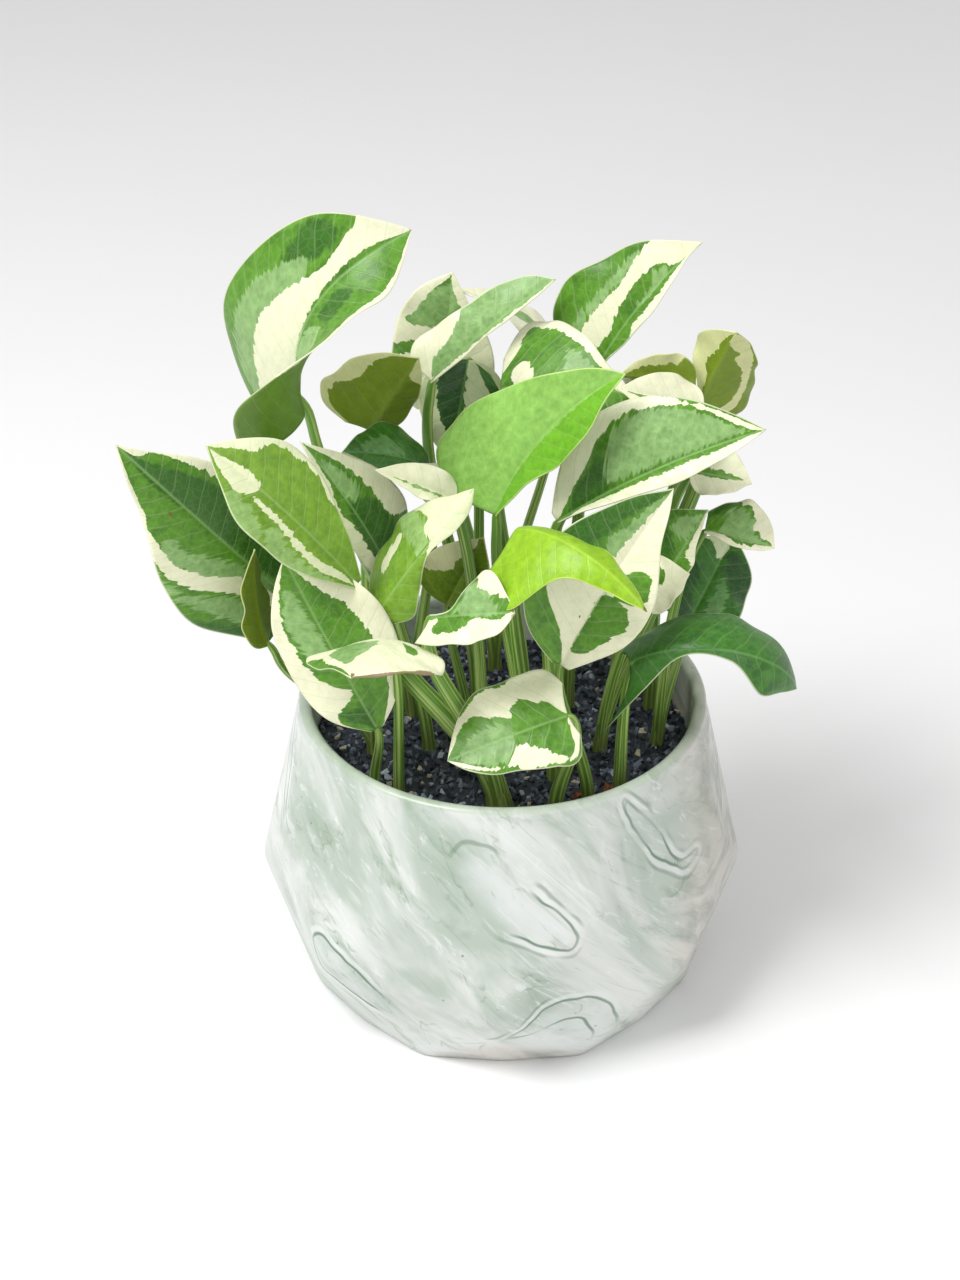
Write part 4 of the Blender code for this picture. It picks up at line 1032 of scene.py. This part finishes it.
def planterMaterial():
    material, tree, shader = newMaterial("marbled_glaze", {"Specular IOR Level": 0.5, "Coat Weight": 0.2,
                                                           "Coat Roughness": 0.2})
    coords = objectPlace(tree)
    flow = tree.nodes.new("ShaderNodeMapping")              # streaks run down to the right
    flow.vector_type = "TEXTURE"
    flow.inputs["Rotation"].default_value = (0, 0.8, 0)
    flow.inputs["Scale"].default_value = (2.4, 1.6, 0.8)
    feed(tree, flow.inputs["Vector"], coords)
    flowing = flow.outputs[0]
    drift = noise(tree, flowing, 22, 4, 0.55, 1.4)
    cloud = noise(tree, flowing, 42, 7, 0.62, 1.8)
    wisps = noise(tree, flowing, 90, 5, 0.7, 2.6)
    streak = noise(tree, stretched(tree, flowing, 0.35, 1, 2.2), 110, 4, 0.65, 1.0)
    swirl = attribute(tree, "swirlField")
    inner = attribute(tree, "innerField")
    ripple = swing(tree, noise(tree, coords, 26, 3, 0.6), 11.0)
    shown = between(tree, noise(tree, coords, 30, 2, 0.5), 0.46, 0.6)
    shownAlso = between(tree, noise(tree, stretched(tree, coords, 1.3, 1.3, 1.3), 33, 2, 0.5), 0.5, 0.62)

    def line(field, level, width, mask):
        away = calc(tree, "ABSOLUTE", calc(tree, "ADD", calc(tree, "ADD", field, ripple), level))
        drawn = flipped(tree, between(tree, away, width * 0.3, width))
        return calc(tree, "MULTIPLY", drawn, mask)

    # greys and whites of the marbling
    base = mixColour(tree, between(tree, drift, 0.36, 0.6), srgb(172, 184, 172), srgb(214, 217, 212))
    base = painted(tree, base, srgb(140, 160, 138), between(tree, cloud, 0.52, 0.72), 0.7)
    base = painted(tree, base, srgb(226, 229, 228), between(tree, wisps, 0.56, 0.7), 0.55)
    base = painted(tree, base, srgb(132, 156, 132), between(tree, streak, 0.55, 0.68), 0.35)
    base = painted(tree, base, srgb(228, 231, 230), flipped(tree, between(tree, streak, 0.3, 0.42)), 0.5)
    inside = between(tree, calc(tree, "ADD", swirl, ripple), -0.5, 6.0)
    base = painted(tree, base, srgb(218, 222, 222), inside, 0.45)
    # painted shade: a darker warm grey on the right side, away from the key light, and low at the front
    x, _, z = parted(tree, coords)
    shadedSide = between(tree, calc(tree, "ADD", x, swing(tree, drift, 0.05)), 0.046, 0.066)
    low = calc(tree, "ADD", z, calc(tree, "MULTIPLY", calc(tree, "ABSOLUTE", x), 0.5))
    shadedLow = flipped(tree, between(tree, low, 0.010, 0.018))
    warmShade = mixColour(tree, between(tree, cloud, 0.4, 0.6), srgb(206, 196, 186), srgb(150, 146, 136))
    # lay the painted shade over the glaze
    base = painted(tree, base, warmShade, calc(tree, "MAXIMUM", shadedSide, shadedLow), 0.6)
    # contour lines of the slow drift, here and there
    contour = calc(tree, "PINGPONG", calc(tree, "MULTIPLY", drift, 9.0), 0.5)
    contour = flipped(tree, between(tree, contour, 0.0, 0.07))
    contour = calc(tree, "MULTIPLY", contour, between(tree, cloud, 0.48, 0.62))
    base = painted(tree, base, srgb(112, 136, 114), contour, 0.45)
    # the swirls' own lines, with a pearly band inside them
    width = planter["lineWidth"]
    outer = line(swirl, 0.0, width * 1.7, shown)
    second = line(swirl, 3.0, width * 2.4, calc(tree, "MULTIPLY", shownAlso, 0.6))
    marks = calc(tree, "MAXIMUM", calc(tree, "MAXIMUM", outer, second), line(inner, 0.0, width * 2, shown))
    base = painted(tree, base, srgb(88, 118, 94), marks, 0.85)
    base = painted(tree, base, srgb(230, 232, 231), line(swirl, 1.6, width * 3.2, shown), 0.5)
    rim = between(tree, z, potHigh.z - 1.6 * mm, potHigh.z - 0.6 * mm)
    base = painted(tree, base, srgb(160, 178, 150), rim, 0.45)
    speck = tree.nodes.new("ShaderNodeTexVoronoi")
    speck.inputs["Scale"].default_value = 90
    feed(tree, speck.inputs["Vector"], coords)
    dots = flipped(tree, between(tree, speck.outputs["Distance"], 0.03, 0.05))
    base = painted(tree, base, srgb(96, 96, 84), dots, 0.6)
    feed(tree, shader.inputs["Base Color"], base)
    feed(tree, shader.inputs["Roughness"], calc(tree, "MULTIPLY_ADD", cloud, 0.2, 0.24))
    bump(tree, shader, calc(tree, "ADD", drift, calc(tree, "MULTIPLY", cloud, 0.3)), 0.25, 0.6 * mm)
    return material


points, faces, fields = planterMesh()
meshPiece("planter", points, faces, planterMaterial(), "pot", fields)
print("planter made")


# soil, out of sight under the gravel

def soilMaterial():
    material, tree, shader = newMaterial("potting_soil", {"Specular IOR Level": 0.2, "Roughness": 0.95})
    crumbs = noise(tree, objectPlace(tree), 500, 5, 0.7)
    colour = mixColour(tree, between(tree, crumbs, 0.35, 0.65), srgb(44, 32, 24), srgb(86, 66, 50))
    feed(tree, shader.inputs["Base Color"], colour)
    bump(tree, shader, crumbs, 0.8, 1.0 * mm)
    return material


def dressNode(name, material):
    # a CAD node shown as it is
    slots = frame["nodes"][name].data.materials
    slots.clear()
    slots.append(material)


dressNode("potting_soil", soilMaterial())


# gravel

# chips: how many to a square mm. long: length of an ordinary one, mm. sizes: their shares of it.
gravel = {"chips": 0.22, "long": 4.2, "sizes": (0.55, 1.25), "shape": (0.5, 0.36, 0.26), "corners": 11,
          "variants": 7, "seed": 4, "bedRings": 14, "bedSpokes": 64}


def chipMesh(number):
    rng = np.random.default_rng(number + 11)
    corners = rng.normal(size=(gravel["corners"], 3))
    corners /= np.linalg.norm(corners, axis=1, keepdims=True)
    corners = corners * rng.uniform(0.75, 1, (gravel["corners"], 1)) * gravel["shape"]
    bm = bmesh.new()
    for p in corners:
        bm.verts.new(p)
    hull = bmesh.ops.convex_hull(bm, input=bm.verts)
    bmesh.ops.delete(bm, geom=hull["geom_interior"], context="VERTS")
    bmesh.ops.recalc_face_normals(bm, faces=bm.faces)
    mesh = bpy.data.meshes.new("chip")
    bm.to_mesh(mesh)
    bm.free()
    return mesh


def gravelMaterial():
    material, tree, shader = newMaterial("gravel", {"Specular IOR Level": 0.5})
    tone = attribute(tree, "chipTone")
    grain = noise(tree, objectPlace(tree), 900, 3, 0.6)
    colour = mixColour(tree, between(tree, tone, 0.3, 0.75), srgb(40, 45, 54), srgb(98, 108, 124))
    colour = mixColour(tree, between(tree, tone, 0.86, 0.9), colour, srgb(160, 168, 178))
    colour = mixColour(tree, between(tree, tone, 0.975, 0.98), colour, srgb(196, 182, 158))
    colour = painted(tree, colour, srgb(112, 120, 130), between(tree, grain, 0.55, 0.8), 0.5)
    feed(tree, shader.inputs["Base Color"], colour)
    feed(tree, shader.inputs["Roughness"], calc(tree, "MULTIPLY_ADD", grain, 0.5, 0.3))
    bump(tree, shader, grain, 0.5, 0.2 * mm)
    return material


def gravelTree(chips, material):
    tree = bpy.data.node_groups.new("scatterChips", "GeometryNodeTree")
    for label, kind in (("Geometry", "NodeSocketGeometry"), ("Chips per mm2", "NodeSocketFloat"),
                        ("Chip Length", "NodeSocketFloat"), ("Seed", "NodeSocketInt")):
        tree.interface.new_socket(label, in_out="INPUT", socket_type=kind)
    tree.interface.new_socket("Geometry", in_out="OUTPUT", socket_type="NodeSocketGeometry")
    given = tree.nodes.new("NodeGroupInput").outputs
    result = tree.nodes.new("NodeGroupOutput").inputs
    scatter = tree.nodes.new("GeometryNodeDistributePointsOnFaces")
    feed(tree, scatter.inputs["Mesh"], given["Geometry"])
    feed(tree, scatter.inputs["Density"], calc(tree, "MULTIPLY", given["Chips per mm2"], 1e6))
    feed(tree, scatter.inputs["Seed"], given["Seed"])
    source = tree.nodes.new("GeometryNodeCollectionInfo")
    source.inputs["Collection"].default_value = chips
    source.inputs["Separate Children"].default_value = True
    source.inputs["Reset Children"].default_value = True

    def random(kind, low, high, seed):
        node = tree.nodes.new("FunctionNodeRandomValue")
        node.data_type = kind
        index = {"FLOAT_VECTOR": 0, "FLOAT": 2, "INT": 4}[kind]
        feed(tree, node.inputs[index], low)
        feed(tree, node.inputs[index + 1], high)
        node.inputs["Seed"].default_value = seed
        return node.outputs[{"FLOAT_VECTOR": 0, "FLOAT": 1, "INT": 2}[kind]]

    put = tree.nodes.new("GeometryNodeInstanceOnPoints")
    feed(tree, put.inputs["Points"], scatter.outputs["Points"])
    feed(tree, put.inputs["Instance"], source.outputs[0])
    put.inputs["Pick Instance"].default_value = True
    feed(tree, put.inputs["Instance Index"], random("INT", 0, gravel["variants"] - 1, 1))
    feed(tree, put.inputs["Rotation"], random("FLOAT_VECTOR", (0, 0, 0), (6.28, 6.28, 6.28), 2))
    feed(tree, put.inputs["Scale"], calc(tree, "MULTIPLY", given["Chip Length"],
                                         random("FLOAT", *gravel["sizes"], 3)))
    tone = tree.nodes.new("GeometryNodeStoreNamedAttribute")
    tone.data_type = "FLOAT"
    tone.domain = "INSTANCE"
    tone.inputs["Name"].default_value = "chipTone"
    feed(tree, tone.inputs["Geometry"], put.outputs[0])
    feed(tree, tone.inputs["Value"], random("FLOAT", 0.0, 1.0, 4))
    real = tree.nodes.new("GeometryNodeRealizeInstances")
    feed(tree, real.inputs[0], tone.outputs[0])
    skin = tree.nodes.new("GeometryNodeSetMaterial")
    skin.inputs["Material"].default_value = material
    feed(tree, skin.inputs["Geometry"], real.outputs[0])
    feed(tree, result["Geometry"], skin.outputs[0])
    return tree


def gravelSurface():
    # the slightly uneven sheet that the chips lie on
    rings, spokes = gravel["bedRings"], gravel["bedSpokes"]
    rng = np.random.default_rng(2)
    points = [(0, 0, gravelTop + 0.1 * mm)]
    for i in range(1, rings + 1):
        radius = (mouthRadius - 0.6 * mm) * i / rings
        for j in range(spokes):
            a = wholeTurn * j / spokes
            z = gravelTop - 0.3 * mm + rng.uniform(0, 0.9) * mm
            points.append((radius * np.sin(a), -radius * np.cos(a), z))
    faces = [(0, 1 + j, 1 + (j + 1) % spokes) for j in range(spokes)]
    faces += [tuple(v + 1 for v in face) for face in tubeFaces(rings, spokes)]
    mesh = bpy.data.meshes.new("gravelSurface")
    mesh.from_pydata(points, [], faces)
    return newObject("gravelSurface", mesh)


def buildGravel():
    material = gravelMaterial()
    chips = bpy.data.collections.new("chips")
    for k in range(gravel["variants"]):
        chips.objects.link(bpy.data.objects.new("chip" + str(k), chipMesh(k)))
    bed = gravelSurface()
    tree = gravelTree(chips, material)
    modifier = bed.modifiers.new("Chips", "NODES")
    modifier.node_group = tree
    sockets = {item.name: item.identifier for item in tree.interface.items_tree if item.in_out == "INPUT"}
    modifier[sockets["Chips per mm2"]] = gravel["chips"]
    modifier[sockets["Chip Length"]] = gravel["long"] * mm
    modifier[sockets["Seed"]] = gravel["seed"]
    bpy.context.view_layer.update()
    graph = bpy.context.evaluated_depsgraph_get()
    scattered = bpy.data.meshes.new_from_object(bed.evaluated_get(graph))
    bpy.data.objects.remove(bed)
    piece = newObject("gravel_chips", scattered)
    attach(piece, "root")
    for chip in list(chips.objects):
        bpy.data.objects.remove(chip)
    bpy.data.collections.remove(chips)
    dressNode("gravel_bed", material)
    return len(scattered.polygons)


print("gravel made:", buildGravel(), "faces")


# dry husks and a cut sprout at the feet of the front stalks

# husks: their middles, and sprout: the middle of its shoots, both mm from the middle of the gravel's top.
# long, wide, thick, shoot: sizes, mm.
litter = {"husks": [(36, -28), (27, -33), (-1, -40), (34, -33)], "flakes": 3, "long": 5.5, "wide": 0.28,
          "thick": 0.25, "flakeSteps": 7, "sprout": (4, -44), "shoots": 4, "shoot": 1.3, "shootSteps": 6}


def huskMaterial():
    material, tree, shader = newMaterial("husk", {"Specular IOR Level": 0.25})
    fibre = noise(tree, objectPlace(tree), 700, 4, 0.6)
    colour = mixColour(tree, between(tree, fibre, 0.35, 0.65), srgb(96, 46, 28), srgb(168, 108, 70))
    feed(tree, shader.inputs["Base Color"], colour)
    feed(tree, shader.inputs["Roughness"], calc(tree, "MULTIPLY_ADD", fibre, 0.3, 0.55))
    return material


def flakeFaces(start, rows):
    # both sides and the rim of a flake whose rows have three points each
    under = rows * 3
    faces = []
    for i in range(rows - 1):
        for j in range(2):
            a, b = start + i * 3 + j, start + i * 3 + j + 1
            faces.append((a, a + 3, b + 3, b))
            faces.append((b + under, b + 3 + under, a + 3 + under, a + under))
    rim = [start + i * 3 for i in range(rows)] + [start + under - 2, start + under - 1]
    rim += [start + i * 3 + 2 for i in range(rows - 2, -1, -1)] + [start + 1]
    for k, a in enumerate(rim):
        b = rim[(k + 1) % len(rim)]
        faces.append((b, a, a + under, b + under))
    return faces


def buildHusks(rng):
    points, faces = [], []
    for x, y in litter["husks"]:
        for _ in range(litter["flakes"]):
            turn = rng.uniform(0, wholeTurn)
            middle = crownPoint((x, y, 1.2)) + rng.normal(size=3) * (1.6, 1.6, 0.3) * mm
            ahead = np.array((np.cos(turn), np.sin(turn), rng.uniform(-0.2, 0.5)))
            aside = np.array((-np.sin(turn), np.cos(turn), rng.uniform(-0.4, 0.4)))
            start = len(points)
            for u in np.linspace(-1, 1, litter["flakeSteps"]):
                width = litter["wide"] * (1 - u * u) ** 0.5 + 0.02
                for v in (-1, 0, 1):
                    bend = np.array((0, 0, 0.25 * (u * u + v * v * 0.3)))
                    points.append(middle + litter["long"] / 2 * mm * (ahead * u + aside * v * width + bend))
            points += [p - (0, 0, litter["thick"] * mm) for p in points[start:]]
            faces += flakeFaces(start, litter["flakeSteps"])
    meshPiece("husks", points, faces, huskMaterial(), flatFaces=[True] * len(faces))


def buildSprout(rng):
    tubes = []
    for _ in range(litter["shoots"]):
        x, y = np.array(litter["sprout"]) + rng.uniform(-2.4, 2.4, 2)
        foot = crownPoint((x, y, -2))
        lean = np.array((rng.uniform(-0.3, 0.3), rng.uniform(-0.2, 0.2), 1))
        path = foot + np.linspace(0, rng.uniform(6, 9) * mm, litter["shootSteps"])[:, None] * lean
        points, faces, place, share = stalkTube(path, np.array((0, -1, 0)), litter["shoot"] * mm)
        tubes.append((points, faces, place, share * 0 + 0.3))       # one colour, as well above the foot
    points, faces, fields = joinTubes(tubes)
    meshPiece("cut_sprout", points, faces, stalkSkin, fields=fields)


litterDraws = np.random.default_rng(8)
buildHusks(litterDraws)
buildSprout(litterDraws)
print("litter made")


# floor, light and camera

# lights: place, size in m and power in W
studio = {"distance": 0.65, "height": 32.6, "target": (-0.0073, 0, 0.1218), "lens": 57.0, "sky": 0.62,
          "lights": {"keyLight": ((-0.6, -0.35, 1.2), 0.5, 13), "fillLight": ((0.7, -1.1, 0.9), 0.9, 4)},
          "lightsAimAt": (0, 0, 0.1), "floor": 4}


def aimed(thing, place, target):
    thing.location = place
    thing.rotation_euler = (Vector(target) - Vector(place)).to_track_quat("-Z", "Y").to_euler()


def buildFloor():
    far = studio["floor"]
    mesh = bpy.data.meshes.new("floor")
    mesh.from_pydata([(-far, -far, 0), (far, -far, 0), (far, far, 0), (-far, far, 0)], [], [(0, 1, 2, 3)])
    floor = newObject("floor", mesh)
    material, tree, shader = newMaterial("floorPaint", {"Roughness": 0.8, "Specular IOR Level": 0.2})
    tone = mixColour(tree, noise(tree, objectPlace(tree), 3, 3), (0.86, 0.86, 0.86, 1), (0.9, 0.9, 0.9, 1))
    feed(tree, shader.inputs["Base Color"], tone)
    mesh.materials.append(material)


def buildLights():
    world = bpy.data.worlds.new("studio")
    world.use_nodes = True
    world.node_tree.nodes["Background"].inputs["Color"].default_value = (1, 1, 1, 1)
    world.node_tree.nodes["Background"].inputs["Strength"].default_value = studio["sky"]
    bpy.context.scene.world = world
    for name, (place, size, power) in studio["lights"].items():
        light = bpy.data.lights.new(name, "AREA")
        light.size = size
        light.energy = power
        aimed(newObject(name, light), place, studio["lightsAimAt"])


def buildCamera():
    camera = newObject("camera", bpy.data.cameras.new("camera"))
    lift = np.radians(studio["height"])
    target = Vector(studio["target"])
    aimed(camera, target + studio["distance"] * Vector((0, -np.cos(lift), np.sin(lift))), target)
    camera.data.lens = studio["lens"]
    camera.data.clip_start = 0.01
    bpy.context.scene.camera = camera


buildFloor()
buildLights()
buildCamera()
bpy.context.scene.view_settings.view_transform = "Standard"
print("studio made")
